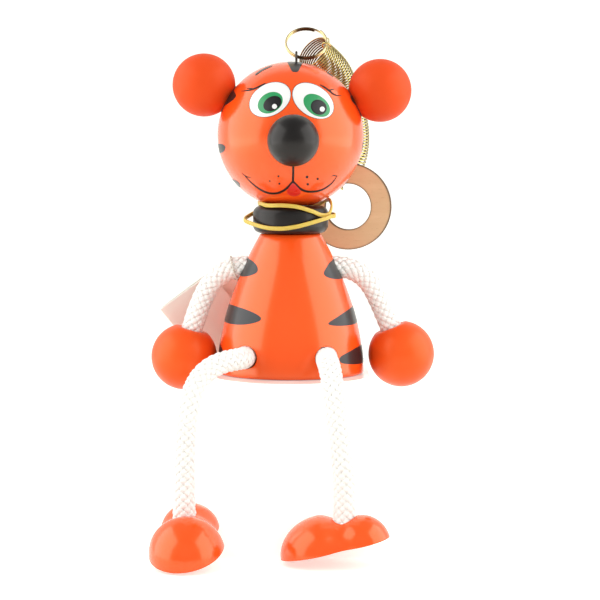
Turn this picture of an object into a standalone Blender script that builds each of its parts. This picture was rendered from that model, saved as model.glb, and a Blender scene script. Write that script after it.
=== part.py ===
"""Wooden tiger on a coil spring: turned head and body, rope arms and legs, ball hands, shoe feet.

Frame: origin at the centre of the body's flat base, +Z up, the face looks along -Y.
Left and right are those of a viewer who looks at the face. Lengths are in metres.
"""
import math

import bmesh
import bpy
import numpy as np
from mathutils import Matrix, Vector

# Running and glue clearances between touching pieces
GAP = 0.0003
BEND_GAP = 0.00045

# Body: a turned cone with swollen sides
BODY_HEIGHT = 0.0580
BODY_BASE_RADIUS = 0.0305
BODY_TOP_RADIUS = 0.0125
BODY_SWELL = 1.85
BODY_BASE_ROUND = 0.0012

# Neck: a black turned ring on a dowel
COLLAR_HEIGHT = 0.0112
COLLAR_RADIUS = 0.0156
COLLAR_ROUND = 0.0032
NECK_DOWEL_RADIUS = 0.0045
NECK_DOWEL_IN_BODY = 0.0070
NECK_DOWEL_IN_HEAD = 0.0140

# Head, ears and nose: turned balls on dowels
HEAD_RADIUS = 0.0302
HEAD_FLAT_RADIUS = 0.0088
EAR_RADIUS = 0.0130
EAR_FLAT_RADIUS = 0.0062
LEFT_EAR_LIFT = math.radians(30.0)
RIGHT_EAR_LIFT = math.radians(26.5)
EAR_DOWEL_RADIUS = 0.0025
EAR_DOWEL_IN_EAR = 0.0080
EAR_DOWEL_IN_HEAD = 0.0080
NOSE_RADIUS = 0.0103
NOSE_FLAT_RADIUS = 0.0050
NOSE_TURN = math.radians(1.8)
NOSE_DROP = math.radians(3.0)
NOSE_DOWEL_RADIUS = 0.0025
NOSE_DOWEL_IN_NOSE = 0.0060
NOSE_DOWEL_IN_HEAD = 0.0080

# Rope arms in one straight bore across the body, and ball hands
ROPE_RADIUS = 0.0045
ARM_BORE_BELOW_DOWEL = 0.0021
ELBOW_OUT_OF_BODY = 0.0073
ARM_ELBOW_BEND = math.radians(40.0)
HAND_RADIUS = 0.0137
HAND_FLAT_RADIUS = 0.0070
HAND_BORE_DEPTH = 0.0066

# Rope legs in two bores drilled from the front, and turned feet sawn flat
LEG_BORE_HEIGHT = 0.0087
LEG_BORE_DEPTH = 0.0120
LEFT_LEG_X = -0.0182
RIGHT_LEG_X = 0.0146
KNEE_BEND = math.radians(25.0)
FOOT_LENGTH = 0.0444
TOE_RADIUS = 0.0150
TOE_CENTRE = 0.0176
WAIST_RADIUS = 0.0101
WAIST_PLACE = 0.0280
HEEL_RADIUS = 0.0119
HEEL_CENTRE = 0.0332
FOOT_BORE_DEPTH = 0.0062
SOLE_TRIM = 0.0011

# Screw eye, split ring, coil spring and plywood finger ring
SCREW_EYE_X = 0.0024
SCREW_EYE_Y = -0.0040
SCREW_EYE_WIRE = 0.00045
SCREW_EYE_RADIUS = 0.0017
SCREW_EYE_DEPTH = 0.0110
SPLIT_RING_RADIUS = 0.0084
SPLIT_RING_WIRE = 0.00038
SPLIT_RING_PITCH = 0.00100
SPLIT_RING_OFF_EYE = Vector((0.0041, 0.00476, 0.00557))
SPLIT_RING_LEAN = math.radians(40.5)
SPLIT_RING_START = 66.0
SPLIT_RING_SWEEP = 700.0
SPRING_RADIUS = 0.00715
SPRING_WIRE = 0.00030
SPRING_TURNS = 42
SPRING_END_TURN = math.radians(205.0)
SPRING_POINTS_A_TURN = 8
TOP_HOOK_ANGLE = math.radians(-12.0)
TOP_HOOK_RADIUS = 0.0017
RING_HOOK_ANGLE = math.radians(110.0)
HOOK_CLEARANCE = 0.0021
FINGER_RING_RADIUS = 0.01827
FINGER_RING_HOLE = 0.00977
FINGER_RING_THICKNESS = 0.0034
FINGER_RING_TURN = math.radians(-8.0)

# Rubber band, two turns round the neck
BAND_RADIUS = 0.0008
BAND_POINTS = 64

# Folded hang tag: its plane leans on the body's back
TAG_PAST_HAND = 0.0064
TAG_BELOW_ARM = 0.0291
TAG_OFF_BODY = 0.0005
TAG_AZIMUTH = math.radians(12.0)
TAG_LEAN = math.radians(18.0)
TAG_ROLL = math.radians(38.0)
TAG_LENGTH = 0.0320
TAG_FRONT_LEAF = 0.0266
TAG_BACK_LEAF = 0.0330
TAG_THICKNESS = 0.0004
TAG_SPREAD = 0.0022
TAG_HOLE_RADIUS = 0.0015
TAG_HOLE_PLACE = (0.0300, 0.0036)
THREAD_RADIUS = 0.0004
THREAD_FROM_ELBOW = 0.0033
THREAD_SLACK = 0.0016

# Arms: (share of the way from elbow to hand, drop below the bore)
LEFT_ARM = [(0.360, 0.0068), (0.581, 0.0142), (0.750, 0.0222), (0.820, 0.0264)]
RIGHT_ARM = [(0.331, 0.0060), (0.529, 0.0123), (0.715, 0.0196), (0.855, 0.0256)]

# Legs: places from the hip, which is level with the bore and the body's front
LEFT_THIGH = [(-0.0008, 0.0005, 0.0002), (-0.0050, -0.0061, 0.0003), (-0.0118, -0.0119, -0.0011)]
LEFT_SHIN = [(-0.0177, -0.0169, -0.0057), (-0.0211, -0.0206, -0.0137), (-0.0227, -0.0228, -0.0237),
             (-0.0234, -0.0240, -0.0387), (-0.0235, -0.0245, -0.0507), (-0.0234, -0.0245, -0.0592)]
RIGHT_THIGH = [(0.0001, -0.0025, 0.0), (0.0004, -0.0090, -0.0004), (0.0011, -0.0151, -0.0019)]
RIGHT_SHIN = [(0.0020, -0.0217, -0.0069), (0.0032, -0.0257, -0.0157), (0.0047, -0.0275, -0.0267),
              (0.0062, -0.0279, -0.0397), (0.0068, -0.0274, -0.0517), (0.0067, -0.0270, -0.0617)]

# Spring's middle line and the finger ring: places from the head's centre, in head radii
SPRING_LINE = [(0.308, 0.464, 1.153), (0.600, 0.719, 0.875), (0.762, 0.901, 0.474),
               (0.861, 1.033, 0.077), (0.844, 1.139, -0.281), (0.722, 1.195, -0.612)]
FINGER_RING_PLACE = (0.811, 0.772, -1.003)

# Rubber band: (degrees round the neck, collar radii out, collar heights over the collar's top)
BAND_ROUTE = [(183, 1.224, -0.500), (207, 1.141, -0.634), (234, 1.090, -0.759), (256, 1.090, -0.786),
              (276, 1.096, -0.723), (296, 1.122, -0.598), (318, 1.192, -0.438), (334, 1.212, -0.286),
              (352, 1.231, -0.277), (375, 1.192, -0.259), (410, 1.128, -0.348), (450, 1.115, -0.491),
              (490, 1.154, -0.536), (505, 1.205, -0.491), (520, 1.237, -0.402), (537, 1.263, -0.268),
              (556, 1.115, -0.179), (575, 1.019, -0.009), (592, 0.994, 0.071), (620, 0.987, 0.063),
              (641, 1.006, 0.0), (662, 1.071, -0.161), (678, 1.083, -0.304), (698, 1.083, -0.295),
              (712, 1.096, -0.045), (728, 1.064, 0.170), (748, 1.083, 0.187), (775, 1.103, -0.045),
              (810, 1.109, -0.187), (850, 1.103, -0.286), (865, 1.096, -0.348), (882, 1.115, -0.446)]

# Poses of the feet: place of the origin from the rope's end, then pitch, roll and yaw
LEFT_FOOT_PLACE = Vector((0.0004, 0.0, -0.0005))
LEFT_FOOT_TILT = (math.radians(19.7), math.radians(-6.4), math.radians(-2.2))
RIGHT_FOOT_PLACE = Vector((0.0, 0.0, 0.0))
RIGHT_FOOT_TILT = (math.radians(13.0), math.radians(0.6), math.radians(-99.5))

# Worked out from the sizes above
COLLAR_BOTTOM = BODY_HEIGHT + GAP
COLLAR_TOP = COLLAR_BOTTOM + COLLAR_HEIGHT
HEAD_BOTTOM = COLLAR_TOP + GAP
HEAD_CENTRE = Vector((0.0, 0.0, HEAD_BOTTOM + math.sqrt(HEAD_RADIUS**2 - HEAD_FLAT_RADIUS**2)))
ARM_BORE_HEIGHT = BODY_HEIGHT - NECK_DOWEL_IN_BODY - ARM_BORE_BELOW_DOWEL - ROPE_RADIUS
HAND_REACH = BODY_BASE_RADIUS + HAND_RADIUS
FINGER_RING_CENTRE = HEAD_CENTRE + Vector(FINGER_RING_PLACE) * HEAD_RADIUS


def fresh_scene():
    for item in list(bpy.data.objects):
        bpy.data.objects.remove(item, do_unlink=True)
    toy = bpy.data.collections.new("wooden_tiger")
    cutters = bpy.data.collections.new("cutters")
    for group in (toy, cutters):
        bpy.context.scene.collection.children.link(group)
    return toy, cutters


TOY, CUTTERS = fresh_scene()


def finish(name, colour, roughness, metallic=0.0):
    material = bpy.data.materials.new(name)
    material.use_nodes = True
    shader = material.node_tree.nodes["Principled BSDF"]
    shader.inputs["Base Color"].default_value = (*colour, 1.0)
    shader.inputs["Roughness"].default_value = roughness
    shader.inputs["Metallic"].default_value = metallic
    material.diffuse_color = (*colour, 1.0)
    return material


ORANGE_PAINT = finish("orange_enamel", (0.93, 0.10, 0.02), 0.25)
BLACK_PAINT = finish("black_enamel", (0.02, 0.02, 0.02), 0.4)
BARE_WOOD = finish("birch", (0.72, 0.50, 0.30), 0.7)
ROPE_COTTON = finish("cotton_rope", (0.85, 0.83, 0.78), 0.95)
BRASSED_STEEL = finish("brassed_steel", (0.72, 0.50, 0.18), 0.3, 1.0)
DARK_STEEL = finish("dark_steel", (0.12, 0.11, 0.10), 0.4, 1.0)
RUBBER = finish("yellow_rubber", (0.85, 0.62, 0.12), 0.5)
CARD = finish("cream_card", (0.88, 0.76, 0.62), 0.85)
THREAD = finish("thread", (0.80, 0.76, 0.68), 0.9)


def place(mesh, name, material, matrix=None, group=None):
    """Makes an object from a mesh, in the toy's collection unless another is given."""
    item = bpy.data.objects.new(name, mesh)
    (group or TOY).objects.link(item)
    if material:
        item.data.materials.clear()
        item.data.materials.append(material)
    if matrix is not None:
        item.matrix_world = matrix
    return item


def facing(direction, origin=(0, 0, 0)):
    """A matrix that turns local +Z to the direction and moves to the origin."""
    turn = Vector(direction).to_track_quat("Z", "Y").to_matrix().to_4x4()
    return Matrix.Translation(Vector(origin)) @ turn


def turned(name, profile, material, matrix=None, sides=32, closed=False):
    """A lathe-turned piece: (radius, height) points down its outer side, round local Z."""
    mesh = bpy.data.meshes.new(name)
    points = [(radius, 0.0, height) for radius, height in profile]
    edges = [(i, i + 1) for i in range(len(points) - 1)]
    if closed:
        edges.append((len(points) - 1, 0))
    mesh.from_pydata(points, edges, [])
    item = place(mesh, name, material, matrix)
    screw = item.modifiers.new("turning", "SCREW")
    screw.axis = "Z"
    screw.steps = sides
    screw.render_steps = sides
    screw.use_merge_vertices = True
    screw.merge_threshold = 0.00001
    screw.use_smooth_shade = True
    return item


def arc(radius, start, end, count, centre=(0.0, 0.0), across=None):
    """Points of an arc in (radius, height), angles from the horizontal in radians."""
    across = radius if across is None else across
    angles = np.linspace(start, end, count)
    return [(centre[0] + across * math.cos(a), centre[1] + radius * math.sin(a)) for a in angles]


def cylinder_cutter(name, radius, start, end, sides=24):
    """A hidden cylinder between two points, for bores."""
    start, end = Vector(start), Vector(end)
    shape = bmesh.new()
    bmesh.ops.create_cone(shape, cap_ends=True, segments=sides, radius1=radius, radius2=radius,
                          depth=(end - start).length)
    mesh = bpy.data.meshes.new(name)
    shape.to_mesh(mesh)
    shape.free()
    return hidden(place(mesh, name, None, facing(end - start, (start + end) / 2), CUTTERS))


def sphere_cutter(name, radius, centre):
    shape = bmesh.new()
    bmesh.ops.create_uvsphere(shape, u_segments=24, v_segments=12, radius=radius)
    mesh = bpy.data.meshes.new(name)
    shape.to_mesh(mesh)
    shape.free()
    return hidden(place(mesh, name, None, Matrix.Translation(Vector(centre)), CUTTERS))


def box_cutter(name, size, matrix):
    shape = bmesh.new()
    bmesh.ops.create_cube(shape, size=1.0)
    bmesh.ops.scale(shape, vec=size, verts=shape.verts)
    mesh = bpy.data.meshes.new(name)
    shape.to_mesh(mesh)
    shape.free()
    return hidden(place(mesh, name, None, matrix, CUTTERS))


def hidden(cutter):
    cutter.hide_render = True
    cutter.display_type = "WIRE"
    return cutter


def cut(item, cutter):
    """Takes the cutter's shape out of the item."""
    step = item.modifiers.new(cutter.name, "BOOLEAN")
    step.operation = "DIFFERENCE"
    step.solver = "EXACT"
    step.object = cutter
    return item


def smooth_line(points, count):
    """Even points on a Catmull-Rom curve through the given ones."""
    route = [Vector(p) for p in points]
    route = [2 * route[0] - route[1]] + route + [2 * route[-1] - route[-2]]
    fine = []
    for a, b, c, d in zip(route, route[1:], route[2:], route[3:]):
        for t in np.linspace(0.0, 1.0, 24, endpoint=False):
            fine.append(0.5 * (2 * b + (c - a) * t + (2 * a - 5 * b + 4 * c - d) * t**2
                               + (3 * b - a - 3 * c + d) * t**3))
    fine.append(route[-2])
    return even_points(fine, count)


def even_points(fine, count):
    """Points at equal steps along a fine line."""
    line = np.array([tuple(p) for p in fine])
    steps = np.linalg.norm(np.diff(line, axis=0), axis=1)
    along = np.concatenate([[0.0], np.cumsum(steps)])
    wanted = np.linspace(0.0, along[-1], count)
    return [Vector([np.interp(w, along, line[:, k]) for k in range(3)]) for w in wanted]


def tube(name, points, radius, material, resolution=3, closed=False, radii=None):
    """A round tube on a POLY spline, with filled ends unless it is closed."""
    curve = bpy.data.curves.new(name, "CURVE")
    curve.dimensions = "3D"
    curve.bevel_depth = radius
    curve.bevel_resolution = resolution
    curve.use_fill_caps = not closed
    spline = curve.splines.new("POLY")
    spline.points.add(len(points) - 1)
    for i, point in enumerate(points):
        spline.points[i].co = (*point, 1.0)
        spline.points[i].radius = 1.0 if radii is None else radii[i]
        spline.use_smooth = True
    spline.use_cyclic_u = closed
    item = bpy.data.objects.new(name, curve)
    TOY.objects.link(item)
    curve.materials.append(material)
    return item


def as_mesh(item):
    """Turns a tube into a mesh with welded ends, so that it can be cut."""
    depsgraph = bpy.context.evaluated_depsgraph_get()
    mesh = bpy.data.meshes.new_from_object(item.evaluated_get(depsgraph))
    shape = bmesh.new()
    shape.from_mesh(mesh)
    bmesh.ops.remove_doubles(shape, verts=shape.verts, dist=0.00001)
    shape.to_mesh(mesh)
    shape.free()
    mesh.shade_smooth()
    name, material, matrix = item.name, item.data.materials[0], item.matrix_world.copy()
    bpy.data.objects.remove(item, do_unlink=True)
    return place(mesh, name, material, matrix)


def set_origin(item, origin):
    """Moves an object's origin to its joint and leaves its shape where it is."""
    shift = Matrix.Translation(-Vector(origin))
    item.data.transform(shift @ item.matrix_world)
    item.matrix_world = Matrix.Translation(Vector(origin))
    return item


def body_radius(height):
    """The body's outer radius at a height over the base."""
    share = min(max(height / BODY_HEIGHT, 0.0), 1.0)
    return BODY_TOP_RADIUS + (BODY_BASE_RADIUS - BODY_TOP_RADIUS) * (1.0 - share**BODY_SWELL)


def bore_mouth(x, height):
    """How far in front of the axis a bore along Y leaves the body."""
    return -math.sqrt(body_radius(height)**2 - x**2)


def make_body():
    heights = np.linspace(BODY_HEIGHT, BODY_BASE_ROUND, 12)
    profile = [(0.0, BODY_HEIGHT)] + [(body_radius(h), h) for h in heights]
    lower = body_radius(BODY_BASE_ROUND) - BODY_BASE_ROUND
    profile += arc(BODY_BASE_ROUND, 0.0, -math.pi / 2, 4, (lower, BODY_BASE_ROUND))[1:]
    profile.append((0.0, 0.0))
    body = turned("body", profile, ORANGE_PAINT, sides=40)
    bore = ROPE_RADIUS + GAP
    reach = BODY_BASE_RADIUS + GAP
    cut(body, cylinder_cutter("arm_bore", bore, (-reach, 0, ARM_BORE_HEIGHT), (reach, 0, ARM_BORE_HEIGHT)))
    for side, x in (("left", LEFT_LEG_X), ("right", RIGHT_LEG_X)):
        mouth = bore_mouth(x, LEG_BORE_HEIGHT)
        cut(body, cylinder_cutter(side + "_leg_bore", bore, (x, mouth + LEG_BORE_DEPTH, LEG_BORE_HEIGHT),
                                  (x, -BODY_BASE_RADIUS - bore, LEG_BORE_HEIGHT)))
    dowel_end = BODY_HEIGHT - NECK_DOWEL_IN_BODY - GAP
    cut(body, cylinder_cutter("body_dowel_bore", NECK_DOWEL_RADIUS + GAP, (0, 0, dowel_end),
                              (0, 0, BODY_HEIGHT + COLLAR_HEIGHT)))


def make_collar():
    inner = NECK_DOWEL_RADIUS + GAP
    middle = COLLAR_RADIUS - COLLAR_ROUND
    profile = [(inner, COLLAR_TOP), (middle, COLLAR_TOP)]
    profile += arc(COLLAR_ROUND, math.pi / 2, 0.0, 6, (middle, COLLAR_TOP - COLLAR_ROUND))[1:]
    profile += arc(COLLAR_ROUND, 0.0, -math.pi / 2, 6, (middle, COLLAR_BOTTOM + COLLAR_ROUND))
    profile.append((inner, COLLAR_BOTTOM))
    turned("neck_collar", profile, BLACK_PAINT, sides=36, closed=True)


def dowel(name, radius, start, end, sides=16):
    length = (Vector(end) - Vector(start)).length
    chamfer = radius * 0.2
    profile = [(0, length), (radius - chamfer, length), (radius, length - chamfer), (radius, chamfer),
               (radius - chamfer, 0), (0, 0)]
    turned(name, profile, BARE_WOOD, facing(Vector(end) - Vector(start), start), sides)


def make_head():
    top = math.pi / 2
    bottom = -math.acos(HEAD_FLAT_RADIUS / HEAD_RADIUS)
    profile = arc(HEAD_RADIUS, top, bottom, 19)
    profile[0] = (0.0, HEAD_RADIUS)
    profile.append((0.0, profile[-1][1]))
    head = turned("head", profile, ORANGE_PAINT, Matrix.Translation(HEAD_CENTRE), sides=40)
    neck_top = HEAD_BOTTOM + NECK_DOWEL_IN_HEAD
    cut(head, cylinder_cutter("head_dowel_bore", NECK_DOWEL_RADIUS + GAP, (0, 0, BODY_HEIGHT),
                              (0, 0, neck_top + GAP)))
    eye_bore_bottom = screw_eye_seat() - SCREW_EYE_DEPTH - GAP
    cut(head, cylinder_cutter("screw_pilot", SCREW_EYE_WIRE + GAP, (SCREW_EYE_X, SCREW_EYE_Y, eye_bore_bottom),
                              (SCREW_EYE_X, SCREW_EYE_Y, HEAD_CENTRE.z + HEAD_RADIUS + GAP), 12))
    dowel("neck_dowel", NECK_DOWEL_RADIUS, (0, 0, BODY_HEIGHT - NECK_DOWEL_IN_BODY), (0, 0, neck_top), 20)
    return head


def ball_on_flat(name, radius, flat_radius, bore_radius, bore_depth, direction, flat_place, material,
                 sides=24, rings=13):
    """A turned ball with a flat whose centre is flat_place, bored there; it stands along direction."""
    flat = -math.sqrt(radius**2 - flat_radius**2)
    profile = arc(radius, math.pi / 2, -math.acos(flat_radius / radius), rings)
    profile[0] = (0.0, radius)
    profile += [(bore_radius, flat), (bore_radius, flat + bore_depth), (0.0, flat + bore_depth)]
    origin = Vector(flat_place) - Vector(direction).normalized() * flat
    return turned(name, profile, material, facing(direction, origin), sides)


def make_on_head(head, name, direction, radius, flat_radius, pin_radius, pin_out, pin_in, material):
    """Seats a ball on a spot face of the head and pins it with a dowel."""
    direction = direction.normalized()
    face = math.sqrt(HEAD_RADIUS**2 - flat_radius**2)
    seat = HEAD_CENTRE + direction * face
    cut(head, cylinder_cutter(name + "_spot_face", flat_radius + GAP, seat, seat + direction * HEAD_RADIUS))
    bottom = HEAD_CENTRE + direction * (face - pin_in)
    cut(head, cylinder_cutter(name + "_bore", pin_radius + GAP, bottom - direction * GAP,
                              seat + direction * pin_out, 16))
    ball_on_flat(name, radius, flat_radius, pin_radius + GAP, pin_out + GAP, direction,
                 seat + direction * GAP, material)
    dowel(name + "_dowel", pin_radius, bottom, seat + direction * (pin_out + GAP / 2), 12)


def make_ears_and_nose(head):
    for side, sign, lift in (("left", -1, LEFT_EAR_LIFT), ("right", 1, RIGHT_EAR_LIFT)):
        direction = Vector((sign * math.cos(lift), 0, math.sin(lift)))
        make_on_head(head, side + "_ear", direction, EAR_RADIUS, EAR_FLAT_RADIUS, EAR_DOWEL_RADIUS,
                     EAR_DOWEL_IN_EAR, EAR_DOWEL_IN_HEAD, ORANGE_PAINT)
    direction = Vector((math.sin(NOSE_TURN), -math.cos(NOSE_TURN), -math.sin(NOSE_DROP)))
    make_on_head(head, "nose", direction, NOSE_RADIUS, NOSE_FLAT_RADIUS, NOSE_DOWEL_RADIUS,
                 NOSE_DOWEL_IN_NOSE, NOSE_DOWEL_IN_HEAD, BLACK_PAINT)


def domed(points, radius):
    """Adds a rounded end past the last point, and gives the points with their radius factors."""
    along = (points[-1] - points[-2]).normalized()
    tip = points[-1]
    factors = [1.0] * len(points)
    for angle in np.radians([25, 50, 68, 82]):
        points = points + [tip + along * radius * math.sin(angle)]
        factors.append(math.cos(angle))
    return points, factors


def rope_limb(side, limb, upper_route, lower_route, bend):
    """A rope in two lengths that meet in a ball and cup at the bend."""
    upper = smooth_line(upper_route, 3 + 2 * len(upper_route))
    pivot = upper[-1]
    points, factors = domed(upper, ROPE_RADIUS)
    name = side + "_" + limb + "_rope"
    tube(name + "_upper", points, ROPE_RADIUS, ROPE_COTTON, radii=factors)
    start = pivot + bend * ROPE_RADIUS * 0.3
    lower = smooth_line([start, pivot + bend * ROPE_RADIUS * 1.1] + [Vector(p) for p in lower_route],
                        5 + 2 * len(lower_route))
    rope = as_mesh(tube(name + "_lower", lower, ROPE_RADIUS, ROPE_COTTON))
    set_origin(rope, pivot)
    cut(rope, sphere_cutter(name + "_cup", ROPE_RADIUS + BEND_GAP, pivot))
    return pivot, lower


def down_from(direction, angle):
    """Turns a direction down towards -Z by an angle, in its own upright plane."""
    axis = direction.cross(Vector((0, 0, -1))).normalized()
    return (Matrix.Rotation(angle, 3, axis) @ direction).normalized()


def elbow_reach():
    """How far the elbows stand out from the body's axis."""
    return body_radius(ARM_BORE_HEIGHT) + ELBOW_OUT_OF_BODY


def make_arm(side, sign, route):
    reach = elbow_reach()
    elbow = Vector((sign * reach, 0, ARM_BORE_HEIGHT))
    inner = Vector((sign * GAP / 2, 0, ARM_BORE_HEIGHT))
    straight = [inner, inner.lerp(elbow, 0.5), elbow]
    bend = down_from(Vector((sign, 0, 0)), ARM_ELBOW_BEND)
    lower_route = [Vector((sign * (reach + share * (HAND_REACH - reach)), 0, ARM_BORE_HEIGHT - drop))
                   for share, drop in route]
    into = (lower_route[-1] - lower_route[-2]).normalized()
    entry = lower_route[-1]
    lower_route.append(entry + into * HAND_BORE_DEPTH)
    rope_limb(side, "arm", straight, lower_route, bend)
    ball_on_flat(side + "_hand", HAND_RADIUS, HAND_FLAT_RADIUS, ROPE_RADIUS + GAP, HAND_BORE_DEPTH + GAP,
                 into, entry, ORANGE_PAINT)


def make_leg(side, x, thigh, shin):
    mouth = bore_mouth(x, LEG_BORE_HEIGHT)
    inner = Vector((x, mouth + LEG_BORE_DEPTH - GAP, LEG_BORE_HEIGHT))
    outer = Vector((x, -BODY_BASE_RADIUS + ROPE_RADIUS, LEG_BORE_HEIGHT))
    hip = Vector((x, -BODY_BASE_RADIUS, LEG_BORE_HEIGHT))
    route = [inner, inner.lerp(outer, 0.5), outer] + [hip + Vector(p) for p in thigh]
    along = (route[-1] - route[-2]).normalized()
    into = (Vector(shin[-1]) - Vector(shin[-2])).normalized()
    lower_route = [hip + Vector(p) for p in shin]
    lower_route.append(lower_route[-1] + into * FOOT_BORE_DEPTH)
    rope_limb(side, "leg", route, lower_route, down_from(along, KNEE_BEND))
    return lower_route[-2], into


def foot_profile():
    """(radius, place along the foot) from heel to toe: heel lobe, waist, toe lobe."""
    heel_half = FOOT_LENGTH - HEEL_CENTRE
    profile = [(HEEL_RADIUS * math.cos(a), HEEL_CENTRE + heel_half * math.sin(a))
               for a in np.linspace(math.pi / 2, 0.0, 7)]
    for start, end, count in ((HEEL_CENTRE, WAIST_PLACE, 4), (WAIST_PLACE, TOE_CENTRE, 6)):
        radii = (HEEL_RADIUS, WAIST_RADIUS) if start == HEEL_CENTRE else (WAIST_RADIUS, TOE_RADIUS)
        for t in np.linspace(0.0, 1.0, count)[1:]:
            blend = 0.5 - 0.5 * math.cos(math.pi * t)
            profile.append((radii[0] + (radii[1] - radii[0]) * blend, start + (end - start) * t))
    profile += [(TOE_RADIUS * math.cos(a), TOE_CENTRE - TOE_CENTRE * math.sin(a))
                for a in np.linspace(0.0, math.pi / 2, 8)[1:]]
    profile[0] = (0.0, FOOT_LENGTH)
    profile[-1] = (0.0, 0.0)
    return profile


def make_foot(side, offset, tilt, entry, into):
    """A turned foot sawn flat: local -Y is the toe, the origin is on top of the waist."""
    pitch, roll, yaw = tilt
    world = (Matrix.Translation(entry + offset) @ Matrix.Rotation(yaw, 4, "Z") @ Matrix.Rotation(pitch, 4, "X")
             @ Matrix.Rotation(roll, 4, "Y"))
    lathe = Matrix.Translation((0, -WAIST_PLACE, -WAIST_RADIUS)) @ Matrix.Rotation(-math.pi / 2, 4, "X")
    foot = turned(side + "_foot", foot_profile(), ORANGE_PAINT, world @ lathe, sides=32)
    saw = box_cutter(side + "_saw", (2 * FOOT_LENGTH, 3 * FOOT_LENGTH, FOOT_LENGTH),
                     world @ Matrix.Translation((0, 0, SOLE_TRIM - WAIST_RADIUS - FOOT_LENGTH / 2)))
    cut(foot, saw)
    cut(foot, cylinder_cutter(side + "_foot_bore", ROPE_RADIUS + GAP, entry - into * TOE_RADIUS,
                              entry + into * (FOOT_BORE_DEPTH + GAP), 20))


def screw_eye_seat():
    """Height where the screw eye's shank leaves the head."""
    return HEAD_CENTRE.z + math.sqrt(HEAD_RADIUS**2 - SCREW_EYE_X**2 - SCREW_EYE_Y**2)


def screw_eye_centre():
    return Vector((SCREW_EYE_X, SCREW_EYE_Y, screw_eye_seat() + GAP + SCREW_EYE_WIRE + SCREW_EYE_RADIUS))


def make_screw_eye():
    seat = screw_eye_seat()
    centre = screw_eye_centre().z
    shank = [(SCREW_EYE_X, SCREW_EYE_Y, seat - SCREW_EYE_DEPTH), (SCREW_EYE_X, SCREW_EYE_Y, seat - SCREW_EYE_DEPTH / 2)]
    turn = [(SCREW_EYE_X, SCREW_EYE_Y + SCREW_EYE_RADIUS * math.sin(a), centre - SCREW_EYE_RADIUS * math.cos(a))
            for a in np.radians(np.linspace(0, 318, 20))]
    tube("screw_eye", shank + turn, SCREW_EYE_WIRE, DARK_STEEL, 1)


def split_ring_axes():
    """The ring's own axes: across, up its plane, and along its axis."""
    across = Vector((1, 0, 0))
    up = Vector((0, math.sin(SPLIT_RING_LEAN), math.cos(SPLIT_RING_LEAN)))
    return across, up, across.cross(up)


def split_ring_centre():
    return screw_eye_centre() + SPLIT_RING_OFF_EYE


def ring_climb(degrees):
    """How far along the ring's axis its wire has climbed at an angle from its start."""
    return SPLIT_RING_PITCH * (degrees - SPLIT_RING_START - SPLIT_RING_SWEEP / 2) / 360


def make_split_ring():
    across, up, axis = split_ring_axes()
    points = []
    for a in np.radians(np.linspace(SPLIT_RING_START, SPLIT_RING_START + SPLIT_RING_SWEEP, 56)):
        climb = ring_climb(math.degrees(a))
        points.append(across * math.cos(a) * SPLIT_RING_RADIUS + up * math.sin(a) * SPLIT_RING_RADIUS
                      + axis * climb)
    ring = tube("split_ring", points, SPLIT_RING_WIRE, BRASSED_STEEL, 1)
    ring.location = split_ring_centre()


def spring_points():
    """Hook, curls and hook of the coil spring, as one line of points."""
    count = SPRING_TURNS * SPRING_POINTS_A_TURN
    line = smooth_line([HEAD_CENTRE + Vector(p) * HEAD_RADIUS for p in SPRING_LINE], count + 1)
    along = (line[1] - line[0]).normalized()
    outward = split_ring_point(TOP_HOOK_ANGLE) - line[0]
    outward = (outward - along * outward.dot(along)).normalized()
    spoke = outward.cross(along)
    curls = []
    for i, middle in enumerate(line):
        along = (line[min(i + 1, count)] - line[max(i - 1, 0)]).normalized()
        spoke = (spoke - along * spoke.dot(along)).normalized()
        side = along.cross(spoke)
        angle = -(2 * math.pi * SPRING_TURNS + SPRING_END_TURN) * i / count
        curls.append(middle + SPRING_RADIUS * (spoke * math.cos(angle) + side * math.sin(angle)))
    first = curls[0] + outward * SPRING_RADIUS * 0.63
    return top_hook(first) + [first] + curls + ring_hook()


def split_ring_point(angle):
    """Middle between the split ring's two turns, at an angle round the ring."""
    across, up, axis = split_ring_axes()
    middle = ring_climb(math.degrees(angle) + 360) + SPLIT_RING_PITCH / 2
    spoke = across * math.cos(angle) + up * math.sin(angle)
    return split_ring_centre() + spoke * SPLIT_RING_RADIUS + axis * middle


def top_hook(last):
    """Three quarters of a loop round the split ring's side, then a run to the first curl."""
    across, up, axis = split_ring_axes()
    spoke = across * math.cos(TOP_HOOK_ANGLE) + up * math.sin(TOP_HOOK_ANGLE)
    centre = split_ring_point(TOP_HOOK_ANGLE)
    loop = [centre + TOP_HOOK_RADIUS * (spoke * math.cos(a) + axis * math.sin(a))
            for a in np.radians([265, 228, 190, 152, 114, 76, 38, 0, -30])]
    return loop + [loop[-1].lerp(last, 0.35), loop[-1].lerp(last, 0.7)]


def ring_hook():
    """A loop round the finger ring's upper left side, through its hole."""
    turn = Matrix.Rotation(FINGER_RING_TURN, 3, "Z")
    radial = turn @ Vector((math.cos(RING_HOOK_ANGLE), 0, math.sin(RING_HOOK_ANGLE)))
    face = turn @ Vector((0, 1, 0))
    centre = FINGER_RING_CENTRE + radial * (FINGER_RING_RADIUS + FINGER_RING_HOLE) / 2
    wide = (FINGER_RING_RADIUS - FINGER_RING_HOLE) / 2 + HOOK_CLEARANCE
    deep = FINGER_RING_THICKNESS / 2 + HOOK_CLEARANCE
    return [centre + radial * wide * math.cos(a) + face * deep * math.sin(a)
            for a in np.radians([105, 130, 155, 180, 205, 235, 270, 305, 335, 365, 385])]


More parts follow.
